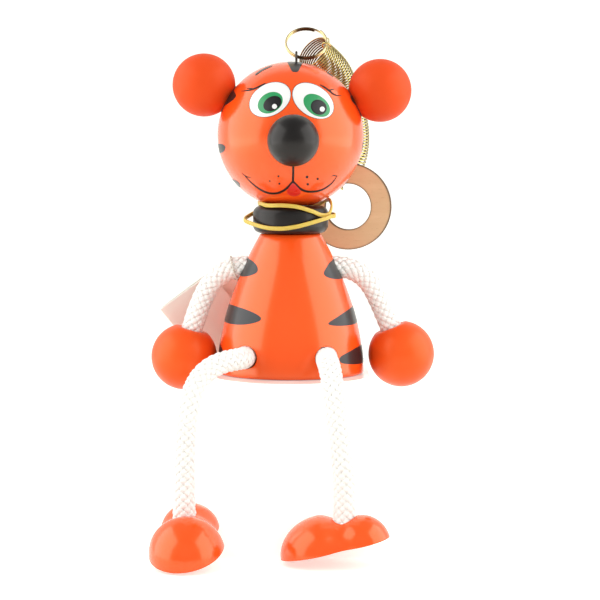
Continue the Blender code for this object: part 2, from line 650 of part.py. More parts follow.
def least_gap(points, radius):
    """Least clear gap of a wound tube to its own next turn, from its points."""
    array = np.array([tuple(p) for p in points])
    steps = np.linalg.norm(np.diff(array, axis=0), axis=1)
    along = np.concatenate([[0.0], np.cumsum(steps)])
    least = 1.0
    for i, point in enumerate(array):
        far = np.abs(along - along[i]) > 6 * radius + SPRING_RADIUS
        if far.any():
            least = min(least, np.linalg.norm(array[far] - point, axis=1).min())
    return least - 2 * radius


def make_spring():
    points = spring_points()
    tube("coil_spring", points, SPRING_WIRE, BRASSED_STEEL, 1)
    print("coil spring: least gap between its turns %.2f mm" % (1000 * least_gap(points, SPRING_WIRE)))


def make_finger_ring():
    curve = bpy.data.curves.new("finger_ring", "CURVE")
    curve.dimensions = "2D"
    curve.fill_mode = "BOTH"
    curve.extrude = FINGER_RING_THICKNESS / 2
    for radius, count in ((FINGER_RING_RADIUS, 48), (FINGER_RING_HOLE, 32)):
        spline = curve.splines.new("POLY")
        spline.points.add(count - 1)
        for i in range(count):
            a = 2 * math.pi * i / count
            spline.points[i].co = (radius * math.cos(a), radius * math.sin(a), 0, 1)
        spline.use_cyclic_u = True
    curve.materials.append(BARE_WOOD)
    ring = bpy.data.objects.new("finger_ring", curve)
    TOY.objects.link(ring)
    ring.matrix_world = (Matrix.Translation(FINGER_RING_CENTRE) @ Matrix.Rotation(FINGER_RING_TURN, 4, "Z")
                         @ Matrix.Rotation(math.pi / 2, 4, "X"))


def make_band():
    route = [Vector((out * COLLAR_RADIUS * math.cos(math.radians(a)),
                     out * COLLAR_RADIUS * math.sin(math.radians(a)), COLLAR_TOP + over * COLLAR_HEIGHT))
             for a, out, over in BAND_ROUTE]
    closed = route[-2:] + route + route[:2]
    fine = smooth_line(closed, 600)
    first = min(range(200), key=lambda i: (fine[i] - route[0]).length)
    last = min(range(400, 600), key=lambda i: (fine[i] - route[0]).length)
    points = even_points(fine[first:last + 1], BAND_POINTS + 1)[:-1]
    tube("rubber_band", points, BAND_RADIUS, RUBBER, 1, closed=True)


def tag_matrix():
    """Local X runs up the tag, Y out of its back and -Z along its fold."""
    level = Vector((math.cos(TAG_AZIMUTH), math.sin(TAG_AZIMUTH), 0))
    rise = Vector((math.sin(TAG_AZIMUTH) * math.sin(TAG_LEAN), -math.cos(TAG_AZIMUTH) * math.sin(TAG_LEAN),
                   math.cos(TAG_LEAN)))
    upward = level * math.cos(TAG_ROLL) + rise * math.sin(TAG_ROLL)
    fold = level * math.sin(TAG_ROLL) - rise * math.cos(TAG_ROLL)
    stand_off = max(body_radius(h) * math.cos(TAG_LEAN) + h * math.sin(TAG_LEAN)
                    for h in np.linspace(0.0, BODY_HEIGHT, 60)) + TAG_OFF_BODY
    corner = (upward.cross(fold) * stand_off - level * tag_corner_reach()
              + rise * (ARM_BORE_HEIGHT - TAG_BELOW_ARM))
    turn = Matrix((upward, upward.cross(fold), -fold)).transposed()
    return Matrix.Translation(corner) @ turn.to_4x4()


def tag_corner_reach():
    """How far the tag's corner lies out to the side, past the left hand's middle."""
    return HAND_REACH + TAG_PAST_HAND


def make_tag():
    """A folded card with a punched hole, and a loop of thread through it round the left arm."""
    fold, card = TAG_SPREAD / 3, TAG_THICKNESS
    outline = [(0, 0), (TAG_FRONT_LEAF, 0), (TAG_FRONT_LEAF, card), (card, card), (card, fold + card),
               (TAG_BACK_LEAF, TAG_SPREAD), (TAG_BACK_LEAF, TAG_SPREAD + card), (0, fold + 2 * card)]
    curve = bpy.data.curves.new("hang_tag", "CURVE")
    curve.dimensions = "2D"
    curve.fill_mode = "BOTH"
    curve.extrude = TAG_LENGTH / 2
    spline = curve.splines.new("POLY")
    spline.points.add(len(outline) - 1)
    for point, (x, y) in zip(spline.points, outline):
        point.co = (x, y, 0, 1)
    spline.use_cyclic_u = True
    curve.materials.append(CARD)
    item = bpy.data.objects.new("hang_tag", curve)
    TOY.objects.link(item)
    frame = tag_matrix()
    item.matrix_world = frame @ Matrix.Translation((0, 0, -TAG_LENGTH / 2))
    tag = as_mesh(item)
    up, along = TAG_HOLE_PLACE
    along = -along
    cut(tag, cylinder_cutter("tag_hole", TAG_HOLE_RADIUS, frame @ Vector((up, -0.002, along)),
                             frame @ Vector((up, 0.006, along)), 16))
    arm = Vector((THREAD_FROM_ELBOW - elbow_reach(), 0, ARM_BORE_HEIGHT))
    loop_radius = ROPE_RADIUS + THREAD_RADIUS + 2 * GAP
    loop = [arm + Vector((0, math.cos(a), math.sin(a))) * loop_radius
            for a in np.radians([60, 95, 130, 165, 200, 235, 268])]
    behind = TAG_SPREAD + THREAD_SLACK
    through = [(up, fold, along), (up, TAG_SPREAD, along), (up + THREAD_RADIUS, behind, along),
               (up + THREAD_SLACK, behind + 2 * THREAD_RADIUS, along),
               (TAG_BACK_LEAF + THREAD_SLACK, behind, along)]
    loop += [loop[-1].lerp(frame @ Vector(through[0]), 0.5)] + [frame @ Vector(p) for p in through]
    loop.append(loop[-1].lerp(loop[0], 0.5))
    closed = smooth_line(loop[-2:] + loop + loop[:2], 400)
    first = min(range(100), key=lambda i: (closed[i] - loop[0]).length)
    last = min(range(300, 400), key=lambda i: (closed[i] - loop[0]).length)
    points = even_points(closed[first:last + 1], 37)[:-1]
    tube("tag_thread", points, THREAD_RADIUS, THREAD, 1, closed=True)


def main():
    make_body()
    make_collar()
    head = make_head()
    make_ears_and_nose(head)
    make_arm("left", -1, LEFT_ARM)
    make_arm("right", 1, RIGHT_ARM)
    for side, x, thigh, shin, offset, tilt in (
            ("left", LEFT_LEG_X, LEFT_THIGH, LEFT_SHIN, LEFT_FOOT_PLACE, LEFT_FOOT_TILT),
            ("right", RIGHT_LEG_X, RIGHT_THIGH, RIGHT_SHIN, RIGHT_FOOT_PLACE, RIGHT_FOOT_TILT)):
        entry, into = make_leg(side, x, thigh, shin)
        make_foot(side, offset, tilt, entry, into)
    make_screw_eye()
    make_split_ring()
    make_spring()
    make_finger_ring()
    make_band()
    make_tag()


main()
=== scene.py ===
"""The look of a wooden tiger toy on a spring: painted turned wood, braided rope limbs, brass wire.

Lengths are in metres and the axes are the part's own: the face looks along -Y and +Z is up.
Left and right are those of a viewer who looks at the face.
"""
import math

import bmesh
import bpy
import numpy as np
from mathutils import Matrix, Vector


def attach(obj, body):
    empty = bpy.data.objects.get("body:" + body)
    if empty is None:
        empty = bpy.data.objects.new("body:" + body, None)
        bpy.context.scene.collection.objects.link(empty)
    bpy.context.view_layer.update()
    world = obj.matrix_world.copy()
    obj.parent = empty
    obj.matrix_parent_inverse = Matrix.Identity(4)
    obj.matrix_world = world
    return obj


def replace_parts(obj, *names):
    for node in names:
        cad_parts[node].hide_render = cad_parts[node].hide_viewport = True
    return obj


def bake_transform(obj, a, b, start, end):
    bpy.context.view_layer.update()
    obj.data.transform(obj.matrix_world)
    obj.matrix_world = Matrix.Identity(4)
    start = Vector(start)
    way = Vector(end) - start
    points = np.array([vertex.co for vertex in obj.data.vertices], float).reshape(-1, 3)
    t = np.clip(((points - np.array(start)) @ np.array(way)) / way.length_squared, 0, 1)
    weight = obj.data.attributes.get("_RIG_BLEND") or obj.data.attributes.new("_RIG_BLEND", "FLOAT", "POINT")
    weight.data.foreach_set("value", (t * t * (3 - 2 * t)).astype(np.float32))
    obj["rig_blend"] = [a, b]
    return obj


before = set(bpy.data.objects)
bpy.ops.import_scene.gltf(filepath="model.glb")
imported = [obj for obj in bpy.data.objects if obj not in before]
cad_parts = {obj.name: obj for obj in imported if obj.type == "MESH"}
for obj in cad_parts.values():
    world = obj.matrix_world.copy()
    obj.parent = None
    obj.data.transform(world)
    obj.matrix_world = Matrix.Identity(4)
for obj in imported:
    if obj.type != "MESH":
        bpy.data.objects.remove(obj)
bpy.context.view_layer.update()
scene = bpy.context.scene
scene.view_settings.view_transform = "Standard"


# The photograph's standpoint: level with the head and looking a little down.
# A long lens from 0.9 m, square to the toy's front.
EYE_PLACE = Vector((0.0039, -0.9, 0.1))
LENS_LENGTH = 130.14
LOOKING_DOWN = math.radians(4.43)
camera = bpy.data.objects.new("camera", bpy.data.cameras.new("camera"))
camera.data.lens = LENS_LENGTH
camera.data.sensor_width = 36.0
camera.location = EYE_PLACE
camera.rotation_euler = (math.pi / 2 - LOOKING_DOWN, 0.0, 0.0)
scene.collection.objects.link(camera)
scene.camera = camera


class Wire:
    """The value of a node's socket. Each operator adds the Math node that it stands for."""

    def __init__(self, finish, socket):
        self.finish = finish
        self.socket = socket

    def maths(self, operation, *others):
        return self.finish.node("Math", {"operation": operation}, dict(enumerate((self, *others))))

    def __add__(self, other):
        return self.maths("ADD", other)

    __radd__ = __add__

    def __mul__(self, other):
        return self.maths("MULTIPLY", other)

    __rmul__ = __mul__

    def __sub__(self, other):
        return self.maths("SUBTRACT", other)

    def __rsub__(self, other):
        return self * -1.0 + other

    def __gt__(self, other):
        return self.maths("GREATER_THAN", other)


class Finish:
    """A finish in the making. Its node method adds any node and gives back one of its outputs."""

    def __init__(self, name, **constants):
        self.material = bpy.data.materials.new(name)
        self.material.use_nodes = True
        self.tree = self.material.node_tree
        self.shader = self.tree.nodes["Principled BSDF"]
        self.plug(self.shader, {key.replace("_", " "): value for key, value in constants.items()})

    def plug(self, node, inputs):
        for key, value in inputs.items():
            socket = node.inputs[key]
            if isinstance(value, Wire):
                self.tree.links.new(value.socket, socket)
            elif isinstance(value, tuple) and socket.type == "RGBA":
                socket.default_value = (*value, 1.0)
            else:
                socket.default_value = value

    def node(self, kind, settings, inputs, output=0):
        node = self.tree.nodes.new("ShaderNode" + kind)
        for key, value in settings.items():
            setattr(node, key, value)
        self.plug(node, inputs)
        return Wire(self, node.outputs[output])

    def place(self, spread=(1.0, 1.0, 1.0)):
        """Where a point lies in the part's own axes, stretched along each of them."""
        plain = self.node("TexCoord", {}, {}, "Object")
        return self.node("Mapping", {}, {"Vector": plain, "Scale": spread})

    def specks(self, scale, detail=3.0, spread=(1.0, 1.0, 1.0), roughness=0.5):
        """Soft noise from 0 to 1, with its size in specks a metre."""
        return self.node("TexNoise", {}, {"Vector": self.place(spread), "Scale": scale,
                                          "Detail": detail, "Roughness": roughness})

    def along_piece(self, name):
        """A number that the piece's own mesh carries, such as the way along a strand."""
        return self.node("Attribute", {"attribute_name": name}, {}, "Fac")

    def blend(self, share, first, second):
        """From the first colour, where the share is 0, to the second."""
        return self.node("Mix", {"data_type": "RGBA"}, {0: share, 6: first, 7: second}, 2)

    def wear(self, **inputs):
        self.plug(self.shader, {key.replace("_", " "): value for key, value in inputs.items()})

    def rough_skin(self, height, depth):
        """Raises the surface by up to a depth in metres where the height is 1."""
        self.wear(Normal=self.node("Bump", {}, {"Height": height, "Distance": depth}))


# The photograph's white table, the block that the toy sits on, and a white sweep behind.
# They are lit like the rest and lifted to white for what looks at them, so shadows stay.
# The block's top has a glossy plate with a round front edge, which mirrors the toy's base.
TABLE_WHITE, TABLE_GLOW = (0.86, 0.845, 0.80), (1.0, 1.0, 0.94)
TABLE_LIFT, GLOSS_LIFT = 0.55, 0.24
FLOOR_HEIGHT = -0.0700
SWEEP_SIDE, SWEEP_FRONT, SWEEP_FOOT, SWEEP_BEND, SWEEP_TOP = 3.4, -3.2, 1.4, 0.5, 3.3
BLOCK = ((-0.0305, 0.0325), (-0.0425, 0.06), (FLOOR_HEIGHT, -0.0002))
GLOSS_WIDE, GLOSS_DEEP, GLOSS_HEIGHT = 0.0345, 0.0415, -0.0001
white = Finish("white_table", Base_Color=TABLE_WHITE, Roughness=0.6, Specular_IOR_Level=0.2)
gloss_white = Finish("glossy_block_top", Base_Color=TABLE_WHITE, Roughness=0.06)
for finish, lift in ((white, TABLE_LIFT), (gloss_white, GLOSS_LIFT)):
    camera_ray, glossy_ray, clear_ray = (finish.node("LightPath", {}, {}, "Is " + kind + " Ray")
                                         for kind in ("Camera", "Glossy", "Transmission"))
    finish.wear(Emission_Color=TABLE_GLOW,
                Emission_Strength=(camera_ray + glossy_ray + clear_ray) * lift)


def stage_piece(name, points, faces, finish):
    """A piece of the photograph's surroundings, which isn't part of the toy."""
    mesh = bpy.data.meshes.new(name)
    mesh.from_pydata(points, [], faces)
    mesh.materials.append(finish.material)
    piece = bpy.data.objects.new(name, mesh)
    scene.collection.objects.link(piece)


sweep = [(SWEEP_FRONT, FLOOR_HEIGHT), (SWEEP_FOOT, FLOOR_HEIGHT)]
sweep += [(SWEEP_FOOT + SWEEP_BEND * math.sin(a),
           FLOOR_HEIGHT + SWEEP_BEND - SWEEP_BEND * math.cos(a))
          for a in np.radians(range(6, 91, 6))]
sweep.append((SWEEP_FOOT + SWEEP_BEND, SWEEP_TOP))
points = [(side * SWEEP_SIDE, y, z) for y, z in sweep for side in (-1, 1)]
stage_piece("white_sweep", points,
            [(2 * i, 2 * i + 1, 2 * i + 3, 2 * i + 2) for i in range(len(sweep) - 1)], white)
corners = [(x, y, z) for x in BLOCK[0] for y in BLOCK[1] for z in BLOCK[2]]
stage_piece("white_block", corners,
            [(0, 1, 3, 2), (4, 6, 7, 5), (0, 4, 5, 1), (2, 3, 7, 6), (1, 5, 7, 3)], white)
glossy = [(np.clip(GLOSS_WIDE * math.cos(a), *BLOCK[0]), GLOSS_DEEP * math.sin(a), GLOSS_HEIGHT)
          for a in np.radians(range(180, 361, 6))]
glossy += [(x, BLOCK[1][1], GLOSS_HEIGHT) for x in BLOCK[0][::-1]]
stage_piece("glossy_block_top", glossy, [tuple(range(len(glossy)))], gloss_white)


# A soft box on each side, which the enamel mirrors as two pale bands, a weaker one in front that
# nothing mirrors, and an even white room. The room is white to look at and dimmer as a lamp.
ROOM_AS_LAMP, ROOM_MIRRORED = 0.57, 0.42


def soft_box(name, place, size, power, aim_height, mirrored=True):
    """A white soft box in the air, turned to the toy."""
    lamp = bpy.data.lights.new(name, "AREA")
    lamp.shape = "RECTANGLE"
    lamp.size, lamp.size_y = size
    lamp.energy = power
    holder = bpy.data.objects.new(name, lamp)
    holder.location = place
    aim = Vector((0, 0, aim_height)) - holder.location
    holder.rotation_euler = aim.to_track_quat("-Z", "Y").to_euler()
    holder.visible_camera, holder.visible_glossy = False, mirrored
    scene.collection.objects.link(holder)


for side in (-1, 1):
    soft_box("side_soft_box", (side * 0.66, -0.10, 0.30), (0.95, 0.95), 6.2, 0.05)
soft_box("front_soft_box", (0.0, -1.1, 0.55), (1.2, 0.8), 2.2, 0.03, mirrored=False)
room = bpy.data.worlds.new("white_room")
scene.world = room
room.use_nodes = True
air = room.node_tree.nodes
looks = air.new("ShaderNodeLightPath")
mirrored, strength = air.new("ShaderNodeMapRange"), air.new("ShaderNodeMapRange")
mirrored.inputs["To Min"].default_value = ROOM_AS_LAMP
mirrored.inputs["To Max"].default_value = ROOM_MIRRORED
strength.inputs["To Max"].default_value = 1.0
room.node_tree.links.new(looks.outputs["Is Glossy Ray"], mirrored.inputs["Value"])
room.node_tree.links.new(mirrored.outputs["Result"], strength.inputs["To Min"])
room.node_tree.links.new(looks.outputs["Is Camera Ray"], strength.inputs["Value"])
room.node_tree.links.new(strength.outputs["Result"], air["Background"].inputs["Strength"])
air["Background"].inputs["Color"].default_value = (1.0, 1.0, 1.0, 1.0)


# Arms and legs: white braided cotton rope, 9 mm thick, glued into bores in the wood.
# One rope runs through the body as both arms, and each leg has its own.
# The braid is sixteen flat strands, eight each way, over one and under one, round a soft core.
ROPE = 0.0090
STRANDS_EACH_WAY = 8
BRAID_PITCH = 0.0260
BRAID_RADIUS = 0.00365
BRAID_WAVE = 0.00040
STRAND_WIDTH = 0.0024
STRAND_THICKNESS = 0.00105
CORE_RADIUS = 0.00325
BRAID_STEP = 0.00055
SWOLLEN_END, SWELLING_RUN = 0.005, 0.006
MARKS_A_METRE, STRAND_SHIFT, EDGE_SHADE = 4, 0.37, 0.9
CREASE = 35.0


def even_line(points, step):
    """Points at an even step on a smooth curve through the given ones, its corners eased."""
    route = [Vector(p) for p in points]
    route = [2 * route[0] - route[1]] + route + [2 * route[-1] - route[-2]]
    fine = []
    for a, b, c, d in zip(route, route[1:], route[2:], route[3:]):
        for t in np.linspace(0.0, 1.0, 30, endpoint=False):
            fine.append(0.5 * (2 * b + (c - a) * t + (2 * a - 5 * b + 4 * c - d) * t**2
                               + (3 * b - a - 3 * c + d) * t**3))
    fine.append(route[-2])
    return spaced(fine, step)


def reach_along(line):
    """How far along a line each of its points lies."""
    return np.concatenate([[0.0], np.cumsum(np.linalg.norm(np.diff(line, axis=0), axis=1))])


def spaced(fine, step):
    """The same line with its points an even step apart."""
    line = np.array([tuple(p) for p in fine])
    along = reach_along(line)
    wanted = np.linspace(0.0, along[-1], max(3, round(along[-1] / step)))
    return np.stack([np.interp(wanted, along, line[:, k]) for k in range(3)], axis=1)


def eased(line, times):
    """Takes the tight bends out of a line and keeps its ends."""
    for _ in range(times):
        line[1:-1] = 0.25 * line[:-2] + 0.5 * line[1:-1] + 0.25 * line[2:]
    return line


def directions(line):
    """The direction of a line at each of its points."""
    ahead = np.gradient(line, axis=0)
    return ahead / np.linalg.norm(ahead, axis=1)[:, None]


def frames_along(line, first=(0.0, 0.0, 1.0)):
    """For each point of a line, its direction and two square directions that don't twist."""
    ahead = directions(line)
    side = np.array(first, float)
    sides = []
    for direction in ahead:
        side = side - direction * side.dot(direction)
        side /= np.linalg.norm(side)
        sides.append(side)
    sides = np.array(sides)
    return ahead, sides, np.cross(ahead, sides)


def skin(shape, rings, capped=True, looped=False, layers=None):
    """Joins rings of points into one closed skin; layers gives numbers for the mesh to carry."""
    for name in layers or {}:
        if name not in shape.verts.layers.float:
            shape.verts.layers.float.new(name)
    rows = [[shape.verts.new(point) for point in ring] for ring in rings]
    for name, values in (layers or {}).items():
        layer = shape.verts.layers.float[name]
        for row, row_values in zip(rows, values):
            for vertex, value in zip(row, row_values):
                vertex[layer] = value
    pairs = list(zip(rows, rows[1:]))
    if looped:
        pairs.append((rows[-1], rows[0]))
    for low, high in pairs:
        for i, vertex in enumerate(low):
            j = (i + 1) % len(low)
            shape.faces.new((vertex, low[j], high[j], high[i]))
    if capped and not looped:
        shape.faces.new(rows[0][::-1])
        shape.faces.new(rows[-1])


def piece_from(shape, name, finish, sharp=CREASE):
    """Turns the skins into a piece with its finish, smooth-shaded but for edges past sharp."""
    bmesh.ops.remove_doubles(shape, verts=shape.verts, dist=0.000001)
    bmesh.ops.recalc_face_normals(shape, faces=shape.faces)
    mesh = bpy.data.meshes.new(name)
    shape.to_mesh(mesh)
    shape.free()
    mesh.shade_smooth()
    mesh.set_sharp_from_angle(angle=math.radians(sharp))
    mesh.materials.append(finish.material)
    piece = bpy.data.objects.new(name, mesh)
    scene.collection.objects.link(piece)
    return piece


# Painted shade: the braid's colour goes darker in its hollows, where a strand dips under the others, along
# the strands' edges and on the core between them.
YARN_ALONG, YARN_AROUND, VALLEY_SHADE = 260.0, 3.2, 0.30
cotton = Finish("braided_cotton", Roughness=0.92, Specular_IOR_Level=0.25, Sheen_Weight=0.25)
yarn_place = cotton.node("CombineXYZ", {}, {"X": cotton.along_piece("along") * YARN_ALONG,
                                            "Y": cotton.along_piece("around") * YARN_AROUND})
yarn = cotton.node("TexNoise", {}, {"Vector": yarn_place, "Scale": 1.0, "Detail": 3.0})
fluff = cotton.specks(2600.0, 4.0, roughness=0.65)
cotton_white = cotton.blend(cotton.specks(180.0, 2.0), (0.93, 0.925, 0.885), (0.97, 0.968, 0.935))
cotton.wear(Base_Color=cotton.blend(cotton.along_piece("painted_valley_shade") * VALLEY_SHADE, cotton_white,
                                    (0.84, 0.79, 0.70)))
cotton.rough_skin(yarn * 0.6 + fluff * 0.4, 0.00030)


def braided(line, swell):
    """The braid's skins round a line; swell is how much wider it gets towards its end."""
    shape = bmesh.new()
    ahead, side, up = frames_along(line)
    reach = reach_along(line)
    before_end = (reach[-1] - reach - SWOLLEN_END) / SWELLING_RUN
    flare = 1.0 + swell * np.clip(1.0 - before_end, 0.0, 1.0)**2
    section = np.radians(np.arange(0, 360, 60))
    for way in (1, -1):
        for strand in range(STRANDS_EACH_WAY):
            angle = 2 * math.pi * (strand / STRANDS_EACH_WAY + way * reach / BRAID_PITCH)
            wave = way * np.cos(2 * math.pi * STRANDS_EACH_WAY * reach / BRAID_PITCH)
            radius = (BRAID_RADIUS + BRAID_WAVE * wave) * flare
            spoke = side * np.cos(angle)[:, None] + up * np.sin(angle)[:, None]
            middle = line + spoke * radius[:, None]
            across = np.cross(directions(middle), spoke)
            rings, marks, valley_shades = [], [], []
            for i in range(len(line)):
                rings.append([middle[i] + spoke[i] * 0.5 * STRAND_THICKNESS * math.sin(a)
                              + across[i] * 0.5 * STRAND_WIDTH * math.cos(a) for a in section])
                marks.append([reach[i] * MARKS_A_METRE + strand * STRAND_SHIFT] * len(section))
                # Share of painted shade: the dipping parts of a strand's top and all of its edges get the
                # darker colour.
                valley_shades.append([0.5 - 0.5 * wave[i] if math.sin(a) > 0.5 else EDGE_SHADE
                                for a in section])
            rounds = [[a / 2 + strand for a in section]] * len(line)
            skin(shape, rings, layers={"along": marks, "around": rounds, "painted_valley_shade": valley_shades})
    core = [[line[i] + (side[i] * math.cos(a) + up[i] * math.sin(a)) * CORE_RADIUS * flare[i]
             for a in np.radians(np.arange(0, 360, 30))] for i in range(0, len(line), 4)]
    skin(shape, core, layers={"painted_valley_shade": [[1.0] * len(core[0])] * len(core)})
    return shape


def limb(name, points, upper, lower, start, end, swell=0.0):
    """One rope limb, which bends between its two bodies and stands for both rope nodes."""
    line = spaced(eased(even_line(points, BRAID_STEP), 90), BRAID_STEP)
    rope = piece_from(braided(line, swell), name, cotton, sharp=180.0)
    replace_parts(rope, name + "_upper", name + "_lower")
    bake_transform(rope, upper, lower, start=start, end=end)
    return line


SHOULDER = 0.0444
LEFT_ARM = [
    (-0.0003, 0, SHOULDER), (-0.01, 0, SHOULDER), (-0.0195, 0, SHOULDER), (-0.0266, 0, 0.043),
    (-0.0331, 0, 0.0376), (-0.0369, 0, 0.0302), (-0.0399, 0, 0.0222), (-0.0411, 0, 0.018),
    (-0.0429, 0, 0.0117),
]
RIGHT_ARM = [
    (0.0003, 0, SHOULDER), (0.01, 0, SHOULDER), (0.0195, 0, SHOULDER), (0.0263, 0, 0.0432),
    (0.0326, 0, 0.0384), (0.036, 0, 0.0321), (0.0393, 0, 0.0248), (0.0417, 0, 0.0188),
    (0.0441, 0, 0.0127),
]
LEFT_LEG = [
    (-0.0182, -0.0121, 0.0087), (-0.0182, -0.02, 0.0087), (-0.0184, -0.0258, 0.0088),
    (-0.0193, -0.0303, 0.0089), (-0.0232, -0.0366, 0.009), (-0.03, -0.0424, 0.0076),
    (-0.0359, -0.0474, 0.003), (-0.0393, -0.0511, -0.005), (-0.0409, -0.0533, -0.015),
    (-0.0416, -0.0545, -0.03), (-0.0417, -0.055, -0.042), (-0.0416, -0.055, -0.0505),
    (-0.0415, -0.055, -0.0565),
]
RIGHT_LEG = [
    (0.0146, -0.0145, 0.0087), (0.0146, -0.0215, 0.0087), (0.0146, -0.0275, 0.0087),
    (0.0147, -0.033, 0.0087), (0.015, -0.0395, 0.0083), (0.0157, -0.0456, 0.0068),
    (0.0166, -0.0522, 0.0018), (0.0178, -0.0562, -0.007), (0.0193, -0.058, -0.018),
    (0.0208, -0.0584, -0.031), (0.0214, -0.0579, -0.043), (0.0213, -0.0575, -0.053),
    (0.0212, -0.0573, -0.059),
]
ELBOW, KNEE, FOOT_SWELL = 4, 6, 0.10
left_arm_line = limb("left_arm_rope", LEFT_ARM, "left_upper_arm", "left_forearm",
                     (-0.021, 0, SHOULDER), LEFT_ARM[ELBOW])
limb("right_arm_rope", RIGHT_ARM, "right_upper_arm", "right_forearm",
     (0.021, 0, SHOULDER), RIGHT_ARM[ELBOW])
limb("left_leg_rope", LEFT_LEG, "left_thigh", "left_shin",
     (-0.0245, -0.0378, 0.0090), LEFT_LEG[KNEE], FOOT_SWELL)
limb("right_leg_rope", RIGHT_LEG, "right_thigh", "right_shin",
     (0.0151, -0.0405, 0.0081), RIGHT_LEG[KNEE], FOOT_SWELL)


# Body: a solid turned cone of birch or lime with swollen sides, dipped in orange enamel.
# A bore runs across it for the arms, and two are drilled from the front for the legs.
BODY_HEIGHT, BASE_RADIUS, TOP_RADIUS, SWELL, BASE_ROUND = 0.0580, 0.0305, 0.0125, 1.85, 0.0012
HIP, TOP_EASE = 0.0087, 0.0003
BORE, LEG_BORE_DEPTH, NECK_BORE = ROPE / 2 + 0.00012, 0.0120, 0.0048
ARM_DRILL_REACH, LEG_DRILL_START, NECK_DRILL = 0.0310, -0.0400, (0.0507, 0.0600)
PLAIN, EVEN = (1.0, 1.0, 1.0), (1.0, 1.0, 1.0)


def enamel(name, colour, deep, roughness, coat, shine=0.5, tint=PLAIN, grain=EVEN):
    """Gloss paint over turned wood: a soft mottle, faint turning rings and an uneven skin."""
    paint = Finish(name, Coat_Roughness=0.10, Coat_Weight=coat, IOR=1.5, Specular_IOR_Level=shine,
                   Specular_Tint=tint)
    mottle = paint.specks(38.0, 3.0)
    paint.wear(Base_Color=paint.blend(mottle, deep, colour),
               Roughness=paint.specks(240.0, 4.0) * 0.12 + (roughness - 0.06))
    paint.rough_skin(paint.specks(150.0, 2.0) * 0.6 + paint.specks(900.0, 2.0, grain) * 0.08,
                     0.00010)
    return paint


WARM = (1.0, 0.87, 0.42)
orange = enamel("orange_enamel", (0.93, 0.088, 0.008), (0.89, 0.075, 0.006), 0.24, 0.34, 0.70, WARM,
                (1.0, 1.0, 4.0))


def lathe(shape, profile, sides=96, matrix=None, closed=False, layers=None):
    """Turns (radius, height) points round local Z into a closed skin."""
    angles = np.linspace(0, 2 * math.pi, sides, endpoint=False)
    rings = [[(matrix or Matrix()) @ Vector((r * math.cos(a), r * math.sin(a), h)) for a in angles]
             for r, h in profile]
    skin(shape, rings, looped=closed, layers=layers)
    return shape


def arc(centre_radius, centre_height, radius, start, end, count):
    """(radius, height) points of an arc, its angles in degrees up from the horizontal."""
    return [(centre_radius + radius * math.cos(a), centre_height + radius * math.sin(a))
            for a in np.radians(np.linspace(start, end, count))]


def body_radius(height):
    """How wide the body is at a height."""
    share = min(max(height / BODY_HEIGHT, 0.0), 1.0)
    return TOP_RADIUS + (BASE_RADIUS - TOP_RADIUS) * (1.0 - share**SWELL)


def turned_to(direction):
    """Turns local Z to a direction."""
    return direction.to_track_quat("Z", "Y").to_matrix().to_4x4()


def drilled(piece, *bores):
    """Drills round bores into a piece, each (start, end, radius)."""
    for start, end, radius in bores:
        start, end = Vector(start), Vector(end)
        bit = bmesh.new()
        place = Matrix.Translation((start + end) / 2) @ turned_to(end - start)
        bmesh.ops.create_cone(bit, cap_ends=True, segments=48, radius1=radius, radius2=radius,
                              depth=(end - start).length, matrix=place)
        taken_out(piece, bit)


def taken_out(piece, bit):
    """Takes a shape out of a piece and keeps the piece a plain mesh."""
    mesh = bpy.data.meshes.new("bit")
    bit.to_mesh(mesh)
    bit.free()
    tool = bpy.data.objects.new("bit", mesh)
    scene.collection.objects.link(tool)
    step = piece.modifiers.new("bore", "BOOLEAN")
    step.operation = "DIFFERENCE"
    step.solver = "EXACT"
    step.object = tool
    settled(piece)
    bpy.data.objects.remove(tool)


def settled(piece):
    """Makes what the modifiers give the piece's own mesh."""
    depsgraph = bpy.context.evaluated_depsgraph_get()
    mesh = bpy.data.meshes.new_from_object(piece.evaluated_get(depsgraph))
    piece.modifiers.clear()
    piece.data = mesh
    mesh.shade_smooth()
    mesh.set_sharp_from_angle(angle=math.radians(CREASE))


profile = [(0.0, BODY_HEIGHT), (TOP_RADIUS - TOP_EASE, BODY_HEIGHT)]
profile += [(body_radius(h), h) for h in np.linspace(BODY_HEIGHT - TOP_EASE, BASE_ROUND, 48)]
profile += arc(body_radius(BASE_ROUND) - BASE_ROUND, BASE_ROUND, BASE_ROUND, 0, -90, 7)[1:]
profile.append((0.0, 0.0))
body = piece_from(lathe(bmesh.new(), profile, 128), "painted_body", orange)
leg_bores = []
for x in (LEFT_LEG[0][0], RIGHT_LEG[0][0]):
    mouth = -math.sqrt(body_radius(HIP)**2 - x**2)
    leg_bores.append(((x, LEG_DRILL_START, HIP), (x, mouth + LEG_BORE_DEPTH, HIP), BORE))
drilled(body, ((-ARM_DRILL_REACH, 0, SHOULDER), (ARM_DRILL_REACH, 0, SHOULDER), BORE), *leg_bores,
        ((0, 0, NECK_DRILL[0]), (0, 0, NECK_DRILL[1]), NECK_BORE))
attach(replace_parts(body, "body"), "torso")


# Tiger stripes of the body: black enamel brushed on by hand, with blunt tips to the front.
# Each runs round the side and tapers out at the back.
black_stripe = enamel("black_stripe_paint", (0.018, 0.018, 0.019), (0.010, 0.010, 0.011), 0.34, 0.2,
                      0.40)
PAINT_THICKNESS, PAINT_RIM, PAINT_UNDER = 0.00009, 0.45, -0.00012


def patch(shape, outline, onto, lift=PAINT_THICKNESS, rings=16):
    """A thin closed plate of paint: an outline on a flat sheet, carried onto a surface by onto."""
    middle = np.mean(outline, axis=0)
    tops, bottoms = [], []
    for share in np.linspace(1.0, 0.0, rings):
        row = [middle + (np.array(p) - middle) * share for p in outline]
        tops.append([onto(p, lift * (1.0 if share < 1.0 else PAINT_RIM)) for p in row])
        bottoms.append([onto(p, PAINT_UNDER) for p in row])
    skin(shape, tops[::-1] + bottoms, capped=False)


